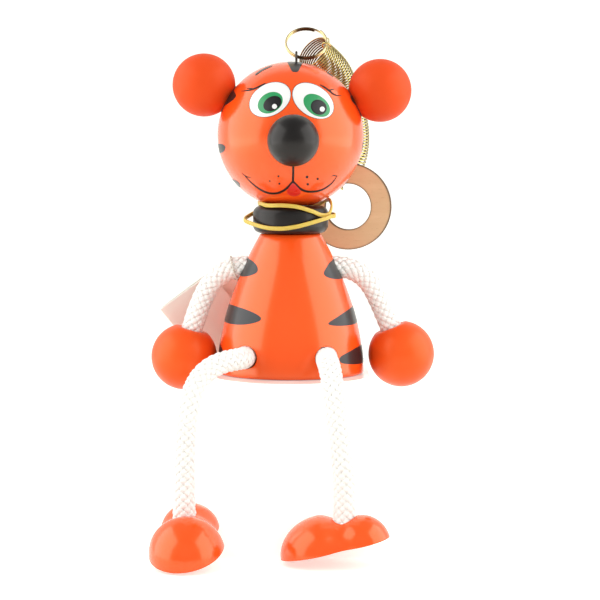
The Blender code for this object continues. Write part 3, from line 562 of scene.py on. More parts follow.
def painted(name, finish, outlines, onto, lift=PAINT_THICKNESS):
    """One piece of paint, made of flat patches of the same finish."""
    shape = bmesh.new()
    for outline in outlines:
        patch(shape, outline, onto, lift)
    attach(piece_from(shape, name, finish, sharp=60.0), "torso")


def rounded(outline, times=3):
    """Cuts the corners of an outline till it is smooth."""
    line = np.array(outline, float)
    for _ in range(times):
        after = np.roll(line, -1, axis=0)
        line = np.stack([0.75 * line + 0.25 * after, 0.25 * line + 0.75 * after], axis=1)
        line = line.reshape(-1, 2)
    return line


def on_body(place, lift):
    """A point of the body's skin at (degrees round from the front, height in millimetres)."""
    angle, height = math.radians(place[0]), place[1] / 1000
    radius = body_radius(height) + lift
    return Vector((radius * math.sin(angle), -radius * math.cos(angle), height))


BODY_STRIPES = [
    [(-41, 43.4), (-46, 45.6), (-60, 47.4), (-88, 48.2), (-112, 46.6), (-122, 44), (-108, 42),
     (-84, 40.6), (-60, 40.6), (-45, 42)],
    [(-24, 24.3), (-32, 26.6), (-50, 28.4), (-78, 29.2), (-104, 27.6), (-124, 25), (-104, 22.8),
     (-80, 21.6), (-52, 21.3), (-34, 22.3)],
    [(-64, 9), (-78, 12.2), (-104, 13.6), (-128, 11), (-138, 8.2), (-120, 6.2), (-96, 5.4),
     (-76, 6.4)],
    [(40.5, 42.2), (46, 44), (60, 46.8), (88, 48), (112, 46.4), (124, 43.6), (108, 41), (86, 39.4),
     (60, 39.6), (45, 40.6)],
    [(32, 22.3), (42, 24.3), (60, 26.9), (86, 28.4), (110, 26.8), (128, 24.6), (108, 22.4),
     (84, 21.2), (58, 20.9), (40, 21.3)],
    [(41.5, 8.6), (48, 9.8), (58, 10.9), (66, 11.6), (84, 12.2), (108, 10.4), (126, 7.8),
     (108, 5.6), (84, 4.4), (58, 5), (44, 6), (41.5, 6.9)],
    [(-156, 36), (-150, 38.6), (-164, 39.8), (-180, 40.2), (-196, 39.6), (-210, 38.2), (-203, 36),
     (-190, 34.6), (-170, 34.4)],
    [(-158, 17.4), (-152, 19.4), (-166, 20.8), (-182, 21.2), (-200, 20.4), (-212, 18.8),
     (-204, 16.6), (-190, 15.2), (-170, 15.4)],
    # The last mark is a small dark crescent along the top of the right leg's bore, over the rope.
    [(23.5, 12.9), (27, 13.3), (31.5, 12.6), (35, 10.8), (34, 9.6), (30, 11.6)],
]
painted("body_stripes", black_stripe,
        [rounded(stripe) for stripe in BODY_STRIPES], on_body)


# Collar: a turned wooden ring with round edges, dipped in black enamel.
# It is glued round the neck dowel, between the body and the head.
COLLAR_BOTTOM, COLLAR_TOP, COLLAR_RADIUS, COLLAR_ROUND = 0.0583, 0.0695, 0.0156, 0.0032
black = enamel("black_enamel", (0.009, 0.008, 0.008), (0.005, 0.004, 0.004), 0.38, 0.14, 0.30,
               (1.0, 0.95, 0.90), (1.0, 1.0, 3.0))
profile = [(NECK_BORE, COLLAR_TOP), (COLLAR_RADIUS - COLLAR_ROUND, COLLAR_TOP)]
profile += arc(COLLAR_RADIUS - COLLAR_ROUND, COLLAR_TOP - COLLAR_ROUND, COLLAR_ROUND, 90, 0, 12)[1:]
profile += arc(COLLAR_RADIUS - COLLAR_ROUND, COLLAR_BOTTOM + COLLAR_ROUND, COLLAR_ROUND, 0, -90, 12)
profile.append((NECK_BORE, COLLAR_BOTTOM))
collar = piece_from(lathe(bmesh.new(), profile, closed=True), "painted_collar", black)
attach(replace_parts(collar, "neck_collar"), "torso")


# Head, ears and nose: turned wooden balls dipped in enamel, the nose in black.
# Each smaller ball sits on a flat cut in the head and is glued there on a dowel.
HEAD_CENTRE = Vector((0.0, 0.0, 0.098689))
HEAD_RADIUS, NECK_FLAT = 0.0302, 0.0088
EAR_LIFT = {"left": (-1, 30.0), "right": (1, 26.5)}
EAR_RADIUS, EAR_FLAT, NOSE_RADIUS, NOSE_FLAT = 0.0130, 0.0062, 0.0103, 0.0050
DOWEL_BORE, HEAD_BORE_DEPTH, EAR_BORE_DEPTH, NOSE_BORE_DEPTH = 0.0028, 0.0083, 0.0083, 0.0063
GLUE_LINE, FLAT_CUT, MOUTH_CUT, HEAD_DRILL = 0.0003, 0.020, 0.001, (0.0660, 0.0841)
profile = arc(0, 0, HEAD_RADIUS, 90, -math.degrees(math.acos(NECK_FLAT / HEAD_RADIUS)), 72)
profile[0] = (0.0, HEAD_RADIUS)
profile.append((0.0, profile[-1][1]))
head = piece_from(lathe(bmesh.new(), profile, 128, Matrix.Translation(HEAD_CENTRE)), "painted_head",
                  orange)


def ball(name, direction, radius, flat_radius, finish, seat, bore, depth):
    """A turned ball that stands out along direction; its flat, with the bore, is on seat."""
    flat = -math.sqrt(radius**2 - flat_radius**2)
    profile = arc(0, 0, radius, 90, -math.degrees(math.acos(flat_radius / radius)), 48)
    profile[0] = (0.0, radius)
    profile += [(bore, flat), (bore, flat + depth), (0.0, flat + depth)]
    direction = Vector(direction).normalized()
    place = Matrix.Translation(Vector(seat) - direction * flat) @ turned_to(direction)
    return piece_from(lathe(bmesh.new(), profile, 80, place), name, finish)


def seated(name, direction, radius, flat_radius, finish, depth):
    """Cuts the ball's flat into the head and seats the ball on it, a glue line off."""
    direction = direction.normalized()
    face = HEAD_CENTRE + direction * math.sqrt(HEAD_RADIUS**2 - flat_radius**2)
    drilled(head, (face, face + direction * FLAT_CUT, flat_radius + GLUE_LINE),
            (face - direction * HEAD_BORE_DEPTH, face + direction * MOUTH_CUT, DOWEL_BORE))
    return ball(name, direction, radius, flat_radius, finish, face + direction * GLUE_LINE,
                DOWEL_BORE, depth)


def ear_direction(side):
    """The way an ear stands out from the head: outward, and up by its lift."""
    sign, lift = EAR_LIFT[side]
    return Vector((sign * math.cos(math.radians(lift)), 0, math.sin(math.radians(lift))))


red_orange = enamel("ear_enamel", (0.79, 0.066, 0.009), (0.74, 0.056, 0.007), 0.55, 0.04, 0.35,
                    WARM)
for side in EAR_LIFT:
    ear = seated("painted_" + side + "_ear", ear_direction(side), EAR_RADIUS, EAR_FLAT, red_orange,
                 EAR_BORE_DEPTH)
    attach(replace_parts(ear, side + "_ear"), "torso")
NOSE_TURN, NOSE_DROP = math.radians(1.8), math.radians(3.0)
direction = Vector((math.sin(NOSE_TURN), -math.cos(NOSE_TURN), -math.sin(NOSE_DROP)))
nose = seated("painted_nose", direction, NOSE_RADIUS, NOSE_FLAT, black,
              NOSE_BORE_DEPTH)
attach(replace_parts(nose, "nose"), "torso")
EYE_X, EYE_Y, EYE_BORE, EYE_DRILL = 0.0024, -0.0040, 0.00075, (0.1160, 0.1320)
drilled(head, ((0, 0, HEAD_DRILL[0]), (0, 0, HEAD_DRILL[1]), NECK_BORE),
        ((EYE_X, EYE_Y, EYE_DRILL[0]), (EYE_X, EYE_Y, EYE_DRILL[1]), EYE_BORE))
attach(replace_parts(head, "head"), "torso")


# Dowels of the neck, ears and nose: plain birch rods, cut to length and glued.
# They are hidden in their bores and stay bare.


def plain_finish(name, colour_specks, low, high, skin_specks, depth, **constants):
    """A finish that mottles between two colours and has a finely rough skin."""
    finish = Finish(name, **constants)
    finish.wear(Base_Color=finish.blend(finish.specks(*colour_specks), low, high))
    finish.rough_skin(finish.specks(*skin_specks), depth)
    return finish


bare = plain_finish("bare_birch", (300.0, 4.0, (1, 1, 0.15)), (0.62, 0.44, 0.26),
                    (0.76, 0.58, 0.38), (1500.0, 3.0, (1, 1, 0.1)), 0.0001, Roughness=0.7)
for name in ("neck_dowel", "left_ear_dowel", "right_ear_dowel", "nose_dowel"):
    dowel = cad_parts[name]
    dowel.data.materials.clear()
    dowel.data.materials.append(bare.material)


# The face: eyes, brows, mouth and freckles brushed on in thin enamel, one colour over another.
# Places are millimetres from the head's middle on a flat sheet square to the viewer, across and up.
SHEET_ACROSS = Vector((1, 0, 0))
SHEET_UP = Vector((0, math.sin(LOOKING_DOWN), math.cos(LOOKING_DOWN)))
LINE_UNDER, STROKE_STEP, STROKE_RIM, RIM_WIDTH = -0.0001, 0.35, 0.3, 0.010


def on_face(place, lift):
    """Carries a sheet point straight away from the viewer onto the head."""
    target = HEAD_CENTRE + (SHEET_ACROSS * place[0] + SHEET_UP * place[1]) / 1000
    ray = (target - EYE_PLACE).normalized()
    offset = EYE_PLACE - HEAD_CENTRE
    half = ray.dot(offset)
    inside = half**2 - offset.length_squared + HEAD_RADIUS**2
    if inside > 0:
        out = (EYE_PLACE + ray * (-half - math.sqrt(inside)) - HEAD_CENTRE).normalized()
    else:
        out = (offset - ray * half).normalized()
    return HEAD_CENTRE + out * (HEAD_RADIUS + lift)


def ellipse(centre, wide, high, tilt, count=48):
    """An ellipse's outline, its long axis tilted by degrees up to the right."""
    tilt = math.radians(tilt)
    points = []
    for a in np.linspace(0, 2 * math.pi, count, endpoint=False):
        x, y = wide * math.cos(a), high * math.sin(a)
        points.append((centre[0] + x * math.cos(tilt) - y * math.sin(tilt),
                       centre[1] + x * math.sin(tilt) + y * math.cos(tilt)))
    return np.array(points)


def stroke(shape, points, widths, onto, lift=PAINT_THICKNESS):
    """A brush stroke along sheet points; widths are its breadth at even steps from end to end."""
    line = even_line([(x, y, 0.0) for x, y in points], STROKE_STEP)[:, :2]
    ahead = directions(line)
    side = np.stack([-ahead[:, 1], ahead[:, 0]], axis=1)
    breadth = np.interp(np.linspace(0, 1, len(line)), np.linspace(0, 1, len(widths)), widths) / 2
    rings = []
    for point, out, half in zip(line, side, breadth):
        low, high = point - out * half, point + out * half
        rings.append([onto(low, STROKE_RIM * lift), onto(point, lift),
                      onto(high, STROKE_RIM * lift), onto(high, LINE_UNDER), onto(low, LINE_UNDER)])
    skin(shape, rings)


EYES = [((-8.5, 14.7), 9.19, 6.54, 30), ((9.3, 14.2), 9.52, 6.33, -35)]
IRISES = [((-8.4, 13.4), 5.59, 4.14, 30), ((10.8, 12.3), 6.21, 4.05, -35)]
PUPILS = [((-7.5, 13.0), 4.12, 2.98, 30), ((11.6, 11.5), 3.56, 3.06, -35)]
GLINTS = [((-6.6, 11.8), 1.08, 1.08, 0), ((13.0, 10.7), 1.08, 1.08, 0)]
white_paint = enamel("white_eye_paint", (0.86, 0.86, 0.83), (0.82, 0.82, 0.80), 0.30, 0.7)
green_paint = enamel("green_iris_paint", (0.020, 0.33, 0.105), (0.014, 0.26, 0.080), 0.30, 0.2)
pupil_paint = enamel("black_pupil_paint", (0.009, 0.009, 0.010), (0.005, 0.005, 0.006),
                     0.34, 0.1, 0.35)
red_paint = enamel("red_tongue_paint", (0.72, 0.012, 0.008), (0.62, 0.008, 0.006), 0.30, 0.7)
line_paint = enamel("dark_line_paint", (0.016, 0.007, 0.005), (0.009, 0.004, 0.003),
                    0.45, 0.0, 0.25)
for name, finish, slot, spots, lift, count in (
        ("eye_whites", white_paint, "orange_enamel", EYES, 0.00008, 48),
        ("irises", green_paint, "orange_enamel", IRISES, 0.00014, 48),
        ("pupils", pupil_paint, "black_enamel", PUPILS, 0.00020, 48),
        ("glints", white_paint, "orange_enamel", GLINTS, 0.00026, 24)):
    painted(name, finish, [ellipse(*spot, count) for spot in spots], on_face, lift)
TONGUE = [
    (1, -19.3), (2.9, -21.2), (4.4, -23.1), (3.9, -24.6), (2.5, -25.3), (1, -25.4), (-0.6, -24.9),
    (-1.7, -23.8), (-0.9, -21.7),
]
painted("tongue", red_paint, [rounded(TONGUE, 2)], on_face, lift=0.00007)

FACE_LINES = [
    ([(-20.5, 18.2), (-17.7, 18.5), (-15.3, 19.1), (-12.9, 20.2), (-10.4, 21.5)],
     [0.17, 0.57, 0.69, 0.69, 0.34]),
    ([(-18.2, 19.4), (-16.6, 19.3), (-15.1, 19.2)], [0.14, 0.46, 0.46]),
    ([(12.1, 20.9), (14.2, 19.7), (16.2, 18.2), (17.8, 16.9), (19.4, 16.4), (21.1, 16.4)],
     [0.34, 0.69, 0.75, 0.69, 0.46, 0.17]),
    ([(15.9, 18.5), (16.9, 18.8), (18.2, 19.1)], [0.57, 0.46, 0.17]),
    ([(1.1, -10), (1.1, -14.4), (1, -19.1)], [0.86, 0.86, 0.92]),
    ([(1, -19.2), (-1.5, -21.9), (-3.8, -23.4), (-6.2, -24.1), (-9.3, -23.9), (-12.2, -22.7),
      (-15.3, -20.5), (-17.7, -18.2), (-19.5, -16.2)],
     [0.92, 0.92, 0.92, 0.86, 0.8, 0.69, 0.57, 0.4, 0.17]),
    ([(-20.2, -15.7), (-18.4, -17.1), (-16.4, -17.6)], [0.14, 0.46, 0.17]),
    ([(1, -19.2), (3.7, -21.9), (6, -23.1), (8.4, -23.4), (11.3, -23.1), (14, -22.1), (16.9, -20),
      (18.6, -17.9), (19.2, -16.6)], [0.92, 0.92, 0.92, 0.86, 0.8, 0.69, 0.57, 0.4, 0.17]),
    ([(16.9, -17), (18, -16.7), (19.3, -17)], [0.14, 0.46, 0.17]),
]
FRECKLES = [
    ((-5, -17), 0.38), ((-8.6, -19), 0.32), ((-4.6, -20.1), 0.4), ((6.8, -17.3), 0.55),
    ((11.2, -18.1), 0.46), ((7.1, -20.3), 0.5),
]
shape = bmesh.new()
for points, widths in FACE_LINES:
    stroke(shape, points, widths, on_face)
for centre, size in FRECKLES:
    patch(shape, ellipse(centre, size, size, 0, 16), on_face, rings=3)
for eye in EYES:
    rim = ellipse(*eye)
    centre = np.array(eye[0])
    outer, inner = (centre + (rim - centre) * (1.0 + out) for out in (RIM_WIDTH, -RIM_WIDTH))
    rings = [[on_face(i, 0.00002), on_face(i, 0.0001), on_face(o, 0.00007), on_face(o, LINE_UNDER),
              on_face(i, LINE_UNDER)] for o, i in zip(outer, inner)]
    skin(shape, rings, looped=True)
face_lines = piece_from(shape, "face_lines", line_paint, sharp=60.0)
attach(face_lines, "torso")


# Stripes on the head: black enamel brushed over the orange by hand.
# There is a wedge at the screw eye, and there are short marks at the sides and back.


def on_head(place, lift):
    """A point of the head's skin at (degrees round from the front, degrees up)."""
    round_angle, up_angle = math.radians(place[0]), math.radians(place[1])
    flat = math.cos(up_angle)
    out = Vector((math.sin(round_angle) * flat, -math.cos(round_angle) * flat, math.sin(up_angle)))
    return HEAD_CENTRE + out * (HEAD_RADIUS + lift)


HEAD_STRIPES = [
    [(-61, -9), (-68, -6.6), (-84, -6.6), (-104, -8), (-116, -10.5), (-104, -13.6), (-84, -14.6),
     (-68, -13.4)],
    [(-64, -39.5), (-74, -36.5), (-92, -37), (-108, -40), (-100, -44.5), (-84, -46), (-70, -44)],
    [(80, -6), (86, -4), (92, -4), (104, -6), (116, -9.5), (104, -13), (92, -14), (84, -13)],
    [(80, -39.5), (86, -37), (92, -37), (108, -40), (100, -44.5), (92, -45), (84, -44)],
    [(-150, 30), (-160, 35), (-180, 37), (-200, 35), (-210, 30), (-196, 27), (-180, 26),
     (-164, 27)],
    [(-146, 0), (-158, 5), (-180, 7), (-202, 5), (-214, 0), (-200, -4), (-180, -5), (-160, -4)],
    [(-152, -28), (-164, -24), (-180, -22), (-196, -24), (-208, -28), (-196, -31), (-180, -32),
     (-164, -31)],
]


def on_crown(place, lift):
    """A point of the head's skin at (millimetres right, millimetres back), seen from above."""
    x, y = place[0] / 1000, place[1] / 1000
    out = Vector((x, y, math.sqrt(HEAD_RADIUS**2 - x * x - y * y))).normalized()
    return HEAD_CENTRE + out * (HEAD_RADIUS + lift)


CROWN_WEDGE = [
    (1, -16.1), (0.3, -14.8), (-0.4, -11.6), (-1.1, -7), (-1.4, -1), (-1.2, 4), (0, 8), (2, 10.5),
    (4, 8), (5, 4), (5.2, -1), (4.8, -7), (4.1, -11.4), (3.4, -14.8), (2.8, -16),
]
# SEAT_MARKS are dark patches on the head at each ear's seat, and TOP_ARCS are thin dark arcs near the
# crown's outline, all in the stripes' black.
SEAT_MARKS = [
    [(-27.2, 12.2), (-26.6, 14.3), (-25.4, 16.4), (-23.7, 18.7), (-22.9, 17.5), (-22.4, 16),
     (-24.1, 14.3), (-25.9, 13)],
    [(24.6, 16.8), (24.9, 15), (25.7, 13.7), (26.7, 12.6), (27.8, 11.8), (29.3, 12.7), (28.3, 14.9),
     (26.9, 16.8)],
]
TOP_ARCS = [
    [(-14.5, 24.5), (-12.6, 25.9), (-10.6, 27.1), (-7.6, 28.4), (-7.4, 29), (-10.4, 28),
     (-12.8, 26.7), (-14.8, 25.2)],
    [(14.8, 25.9), (16.4, 24.9), (17.6, 24), (17.7, 24.4), (16.5, 25.3), (15, 26.3)],
]
shape = bmesh.new()
for stripe in HEAD_STRIPES:
    patch(shape, rounded(stripe), on_head)
for mark in SEAT_MARKS + TOP_ARCS:
    patch(shape, rounded(mark, 1), on_face)
wedge = rounded(CROWN_WEDGE)
pierced = np.array((1000 * EYE_X, 1000 * EYE_Y))
rings = [[pierced + (p - pierced) * share for p in wedge] for share in (1.0, 0.85, 0.7, 0.5, 0.32)]
rings.append([pierced + 0.8 * (p - pierced) / np.linalg.norm(p - pierced) for p in wedge])
tops, bottoms = ([[on_crown(p, lift) for p in ring] for ring in rings]
                 for lift in (PAINT_THICKNESS, LINE_UNDER))
skin(shape, tops[::-1] + bottoms, looped=True)
marks = piece_from(shape, "head_stripes", black_stripe, sharp=60.0)
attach(marks, "torso")


# Painted shade at the ears: where an ear meets the head, a thin dark brown fillet stands for the shade in
# the crevice.
# It runs round the ear's flat.
EAR_SHADE_RADIUS, EAR_SHADE_THICKNESS = 0.0059, 0.00022
shape = bmesh.new()
for side in EAR_LIFT:
    direction = ear_direction(side)
    face = math.sqrt(HEAD_RADIUS**2 - EAR_FLAT**2) + GLUE_LINE / 2
    place = Matrix.Translation(HEAD_CENTRE + direction * face) @ turned_to(direction)
    lathe(shape, arc(EAR_SHADE_RADIUS, 0, EAR_SHADE_THICKNESS, 0, 330, 12), 48, place, closed=True)
# Dark brown for the painted shade round each ear's flat.
ear_shade_brown = enamel("painted_ear_shade", (0.20, 0.020, 0.008), (0.12, 0.010, 0.005), 0.5, 0.0)
ear_shade_fillet = piece_from(shape, "painted_ear_shade_lines", ear_shade_brown, sharp=60.0)
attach(ear_shade_fillet, "torso")


# Hands: turned wooden balls dipped in the same orange, which has dried duller on them.
# Each is bored and glued on the end of an arm rope.
HAND_RADIUS, HAND_FLAT, HAND_BORE_DEPTH = 0.0137, 0.0070, 0.0069
satin_orange = enamel("satin_orange_enamel", (0.90, 0.092, 0.010), (0.84, 0.076, 0.007), 0.40, 0.05,
                      tint=WARM)
for side, (before, entry) in (("left", LEFT_ARM[6:8]), ("right", RIGHT_ARM[6:8])):
    into = (Vector(entry) - Vector(before)).normalized()
    hand = ball("painted_" + side + "_hand", into, HAND_RADIUS, HAND_FLAT, satin_orange,
                entry, BORE, HAND_BORE_DEPTH)
    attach(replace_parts(hand, side + "_hand"), side + "_forearm")


# Feet: each is turned with a toe and a heel lobe, sawn in half along its length and dipped.
# The leg rope is glued in a bore on top of the waist.
FOOT_LENGTH, TOE_RADIUS, TOE_CENTRE = 0.0444, 0.0150, 0.0176
WAIST_RADIUS, WAIST_PLACE, HEEL_RADIUS, HEEL_CENTRE = 0.0114, 0.0280, 0.0119, 0.0332
AXIS_UNDER_ROPE, SOLE_TRIM, SOLE_EDGE, FOOT_BORE_DEPTH = 0.0101, 0.0011, 0.00055, 0.0065


def foot_profile():
    """(radius, place) points from the heel's end to the toe's end."""
    profile = [(HEEL_RADIUS * math.cos(a), HEEL_CENTRE + (FOOT_LENGTH - HEEL_CENTRE) * math.sin(a))
               for a in np.linspace(math.pi / 2, 0.0, 20)]
    for start, end, count, radii in ((HEEL_CENTRE, WAIST_PLACE, 12, (HEEL_RADIUS, WAIST_RADIUS)),
                                     (WAIST_PLACE, TOE_CENTRE, 16, (WAIST_RADIUS, TOE_RADIUS))):
        for t in np.linspace(0.0, 1.0, count)[1:]:
            profile.append((radii[0] + (radii[1] - radii[0]) * (0.5 - 0.5 * math.cos(math.pi * t)),
                            start + (end - start) * t))
    profile += [(TOE_RADIUS * math.cos(a), TOE_CENTRE - TOE_CENTRE * math.sin(a))
                for a in np.linspace(0.0, math.pi / 2, 28)[1:]]
    profile[0], profile[-1] = (0.0, FOOT_LENGTH), (0.0, 0.0)
    return profile


FEET = {"left": (LEFT_LEG[11:], (0.0004, 0.0, -0.0005), (19.7, -6.4, -2.2)),
        "right": (RIGHT_LEG[11:], (0.0, 0.0, 0.0), (13.0, 0.6, -99.5))}
for side, ((entry, end), offset, tilt) in FEET.items():
    pitch, roll, yaw = (math.radians(a) for a in tilt)
    entry, into = Vector(entry), (Vector(end) - Vector(entry)).normalized()
    place = (Matrix.Translation(entry + Vector(offset)) @ Matrix.Rotation(yaw, 4, "Z")
             @ Matrix.Rotation(pitch, 4, "X") @ Matrix.Rotation(roll, 4, "Y"))
    axis = Matrix.Translation((0, -WAIST_PLACE, -AXIS_UNDER_ROPE))
    axis = axis @ Matrix.Rotation(-math.pi / 2, 4, "X")
    foot = piece_from(lathe(bmesh.new(), foot_profile(), 112, place @ axis),
                      "painted_" + side + "_foot", orange)
    saw = bmesh.new()
    under = Matrix.Translation((0, 0, SOLE_TRIM - AXIS_UNDER_ROPE - FOOT_LENGTH))
    bmesh.ops.create_cube(saw, size=2 * FOOT_LENGTH, matrix=place @ under)
    taken_out(foot, saw)
    edge = foot.modifiers.new("dulled_edge", "BEVEL")
    edge.width, edge.segments = SOLE_EDGE, 3
    edge.limit_method, edge.angle_limit = "ANGLE", math.radians(50)
    settled(foot)
    drilled(foot, (entry - into * TOE_RADIUS, entry + into * FOOT_BORE_DEPTH, BORE))
    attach(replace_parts(foot, side + "_foot"), side + "_shoe")


# Screw eye: 1 mm steel wire bent to a ring, plated dark and screwed into the crown.
# Its shank is out of sight in the head.
EYE_WIRE, EYE_RING, EYE_SHANK, EYE_NECK, EYE_SWEEP = 0.00048, 0.0017, 0.0110, 0.00075, 318
EYE_SEAT = HEAD_CENTRE.z + math.sqrt(HEAD_RADIUS**2 - EYE_X**2 - EYE_Y**2)


def wound(shape, line, radius, sides, first=(0.0, 0.0, 1.0), looped=False):
    """A round wire along a line."""
    line = np.array([tuple(p) for p in line])
    ahead, side, up = frames_along(line, first)
    section = np.linspace(0, 2 * math.pi, sides, endpoint=False)
    rings = [[line[i] + (side[i] * math.cos(a) + up[i] * math.sin(a)) * radius for a in section]
             for i in range(len(line))]
    skin(shape, rings, looped=looped)
    return shape


dark_steel = plain_finish("dark_plated_wire", (900.0,), (0.045, 0.04, 0.036), (0.13, 0.115, 0.10),
                          (3000.0,), 0.00004, Metallic=1.0)
dark_steel.wear(Roughness=dark_steel.specks(1500.0) * 0.2 + 0.28)
ring_centre = EYE_SEAT + EYE_NECK + EYE_RING
line = [(EYE_X, EYE_Y, z) for z in np.arange(EYE_SEAT - EYE_SHANK, EYE_SEAT, 0.0004)]
line += [(EYE_X, EYE_Y + EYE_RING * math.sin(a), ring_centre - EYE_RING * math.cos(a))
         for a in np.radians(np.linspace(0, EYE_SWEEP, 54))]
shape = wound(bmesh.new(), line, EYE_WIRE, 14, (1, 0, 0))
screw_eye = piece_from(shape, "plated_screw_eye", dark_steel)
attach(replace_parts(screw_eye, "screw_eye"), "torso")


# Split ring: two turns of brassed spring wire, pressed close, that hang the spring on the eye.
# Its plating is lighter gold at the left and right sides and dark brown at the top and bottom.
RING_RADIUS, RING_WIRE, RING_PITCH, RING_START, RING_SWEEP = 0.0084, 0.00038, 0.00100, 66.0, 700.0
RING_LEAN = math.radians(40.5)
RING_CENTRE = Vector((EYE_X, EYE_Y, ring_centre)) + Vector((0.0041, 0.00476, 0.00557))
RING_ACROSS = Vector((1, 0, 0))
RING_UP = Vector((0, math.sin(RING_LEAN), math.cos(RING_LEAN)))
RING_AXIS = RING_ACROSS.cross(RING_UP)
GOLD_SIDES_FROM, GOLD_SIDES_RISE = 0.35, 3.0
brass = Finish("brassed_wire", Metallic=1.0)
bright = brass.along_piece("gold_sides") + (brass.specks(600.0, 2.0) - 0.5) * 0.5
gold = brass.blend(brass.specks(700.0, 3.0), (0.62, 0.46, 0.19), (0.88, 0.73, 0.42))
brass.wear(Base_Color=brass.blend(bright, (0.10, 0.045, 0.018), gold),
           Roughness=brass.specks(2200.0, 3.0) * 0.16 + 0.16)
brass.rough_skin(brass.specks(5000.0, 2.0), 0.00002)


def ring_climb(degrees):
    """How far the wire has climbed along the ring's axis."""
    return RING_PITCH * (degrees - RING_START - RING_SWEEP / 2) / 360


def ring_place(angle, climb):
    """A point of the wire's middle line."""
    spoke = RING_ACROSS * math.cos(angle) + RING_UP * math.sin(angle)
    return RING_CENTRE + spoke * RING_RADIUS + RING_AXIS * climb


line = [ring_place(math.radians(a), ring_climb(a))
        for a in np.linspace(RING_START, RING_START + RING_SWEEP, 220)]
shape = wound(bmesh.new(), line, RING_WIRE, 12, RING_AXIS)
# How far each point lies towards the ring's left and right sides, where the plating is coloured lighter
# gold.
gold_sides = shape.verts.layers.float.new("gold_sides")
for vertex in shape.verts:
    across = abs((vertex.co - RING_CENTRE).dot(RING_ACROSS)) / RING_RADIUS
    vertex[gold_sides] = min(max((across - GOLD_SIDES_FROM) * GOLD_SIDES_RISE, 0.0), 1.0)
split_ring = piece_from(shape, "brassed_split_ring", brass)
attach(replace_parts(split_ring, "split_ring"), "top_ring")


# Coil spring: fine brassed wire wound close, hooked on the split ring and through the finger ring.
# It lies in a bow down the back of the head and opens when the finger ring is pulled.
# The hook at its lower end is a piece of its own, so that it stays on the finger ring.
COIL_RADIUS, COIL_WIRE, COIL_TURNS, COIL_POINTS = 0.00715, 0.00035, 58, 30
COIL_END_TURN, RUN_REACH, INNER_SHADE_FROM = math.radians(205.0), 12, 0.75
COIL_LINE = [
    (0.0093, 0.014, 0.1335), (0.0181, 0.0217, 0.1251), (0.023, 0.0272, 0.113),
    (0.026, 0.0312, 0.101), (0.0255, 0.0344, 0.0902), (0.0218, 0.0361, 0.0802),
]
HOOK_DEGREES, HOOK_RADIUS, HOOK_CLEARANCE, HOOK_LEAVES = -12.0, 0.0017, 0.0021, 0.63
HOOK_ANGLE, GRIP_ANGLE = math.radians(HOOK_DEGREES), math.radians(110)
FINGER_RING = Vector((0.0245, 0.0233, 0.0684))
FINGER_RADIUS, FINGER_HOLE, FINGER_THICKNESS = 0.01827, 0.00977, 0.0034
FINGER_TURN = Matrix.Rotation(math.radians(-8.0), 3, "Z")
count = COIL_TURNS * COIL_POINTS
middle = even_line(COIL_LINE, 0.00001)
middle = eased(middle[np.linspace(0, len(middle) - 1, count + 1).astype(int)], 40)
hook_middle = ring_place(HOOK_ANGLE, ring_climb(HOOK_DEGREES + 360) + RING_PITCH / 2)
run = Vector(middle[40] - middle[0]).normalized()
outward = hook_middle - Vector(middle[0])
outward = (outward - run * outward.dot(run)).normalized()
spoke = outward.cross(run)
curls = []
for i in range(count + 1):
    run = Vector(middle[min(i + RUN_REACH, count)] - middle[max(i - RUN_REACH, 0)]).normalized()
    spoke = (spoke - run * spoke.dot(run)).normalized()
    side = run.cross(spoke)
    angle = -(2 * math.pi * COIL_TURNS + COIL_END_TURN) * i / count
    wound_out = spoke * math.cos(angle) + side * math.sin(angle)
    curls.append(Vector(middle[i]) + COIL_RADIUS * wound_out)
hook_spoke = RING_ACROSS * math.cos(HOOK_ANGLE) + RING_UP * math.sin(HOOK_ANGLE)
top_hook = [hook_middle + HOOK_RADIUS * (hook_spoke * math.cos(a) + RING_AXIS * math.sin(a))
            for a in np.radians(np.linspace(265, -30, 28))]
first = curls[0] + outward * COIL_RADIUS * HOOK_LEAVES
radial = FINGER_TURN @ Vector((math.cos(GRIP_ANGLE), 0, math.sin(GRIP_ANGLE)))
face = FINGER_TURN @ Vector((0, 1, 0))
grip = FINGER_RING + radial * (FINGER_RADIUS + FINGER_HOLE) / 2
wide = (FINGER_RADIUS - FINGER_HOLE) / 2 + HOOK_CLEARANCE
deep = FINGER_THICKNESS / 2 + HOOK_CLEARANCE
low_hook = [grip + radial * wide * math.cos(a) + face * deep * math.sin(a)
            for a in np.radians(np.linspace(105, 385, 30))]
first_run = even_line(top_hook[-3:] + [top_hook[-1].lerp(first, 0.5), first, curls[0]], 0.0003)
last_run = even_line([curls[-1], curls[-1].lerp(low_hook[0], 0.5), low_hook[0]], 0.0003)
spring_brass = Finish("brassed_spring_wire", Metallic=1.0)
# Painted shade: the wire's side that faces the coil's middle is dark brown, and its outer side is gold.
outer = spring_brass.blend(spring_brass.specks(500.0, 3.0), (0.46, 0.37, 0.12), (0.74, 0.64, 0.26))
inner = spring_brass.blend(spring_brass.specks(500.0, 3.0), (0.13, 0.036, 0.014),
                           (0.27, 0.092, 0.036))
spring_brass.wear(Base_Color=spring_brass.blend(spring_brass.along_piece("inside"), outer, inner),
                  Roughness=spring_brass.specks(2200.0, 3.0) * 0.14 + 0.18)
spring_brass.rough_skin(spring_brass.specks(5000.0, 2.0), 0.00002)
shape = wound(bmesh.new(), [*top_hook[:-3], *first_run[:-1], *curls], COIL_WIRE, 8)
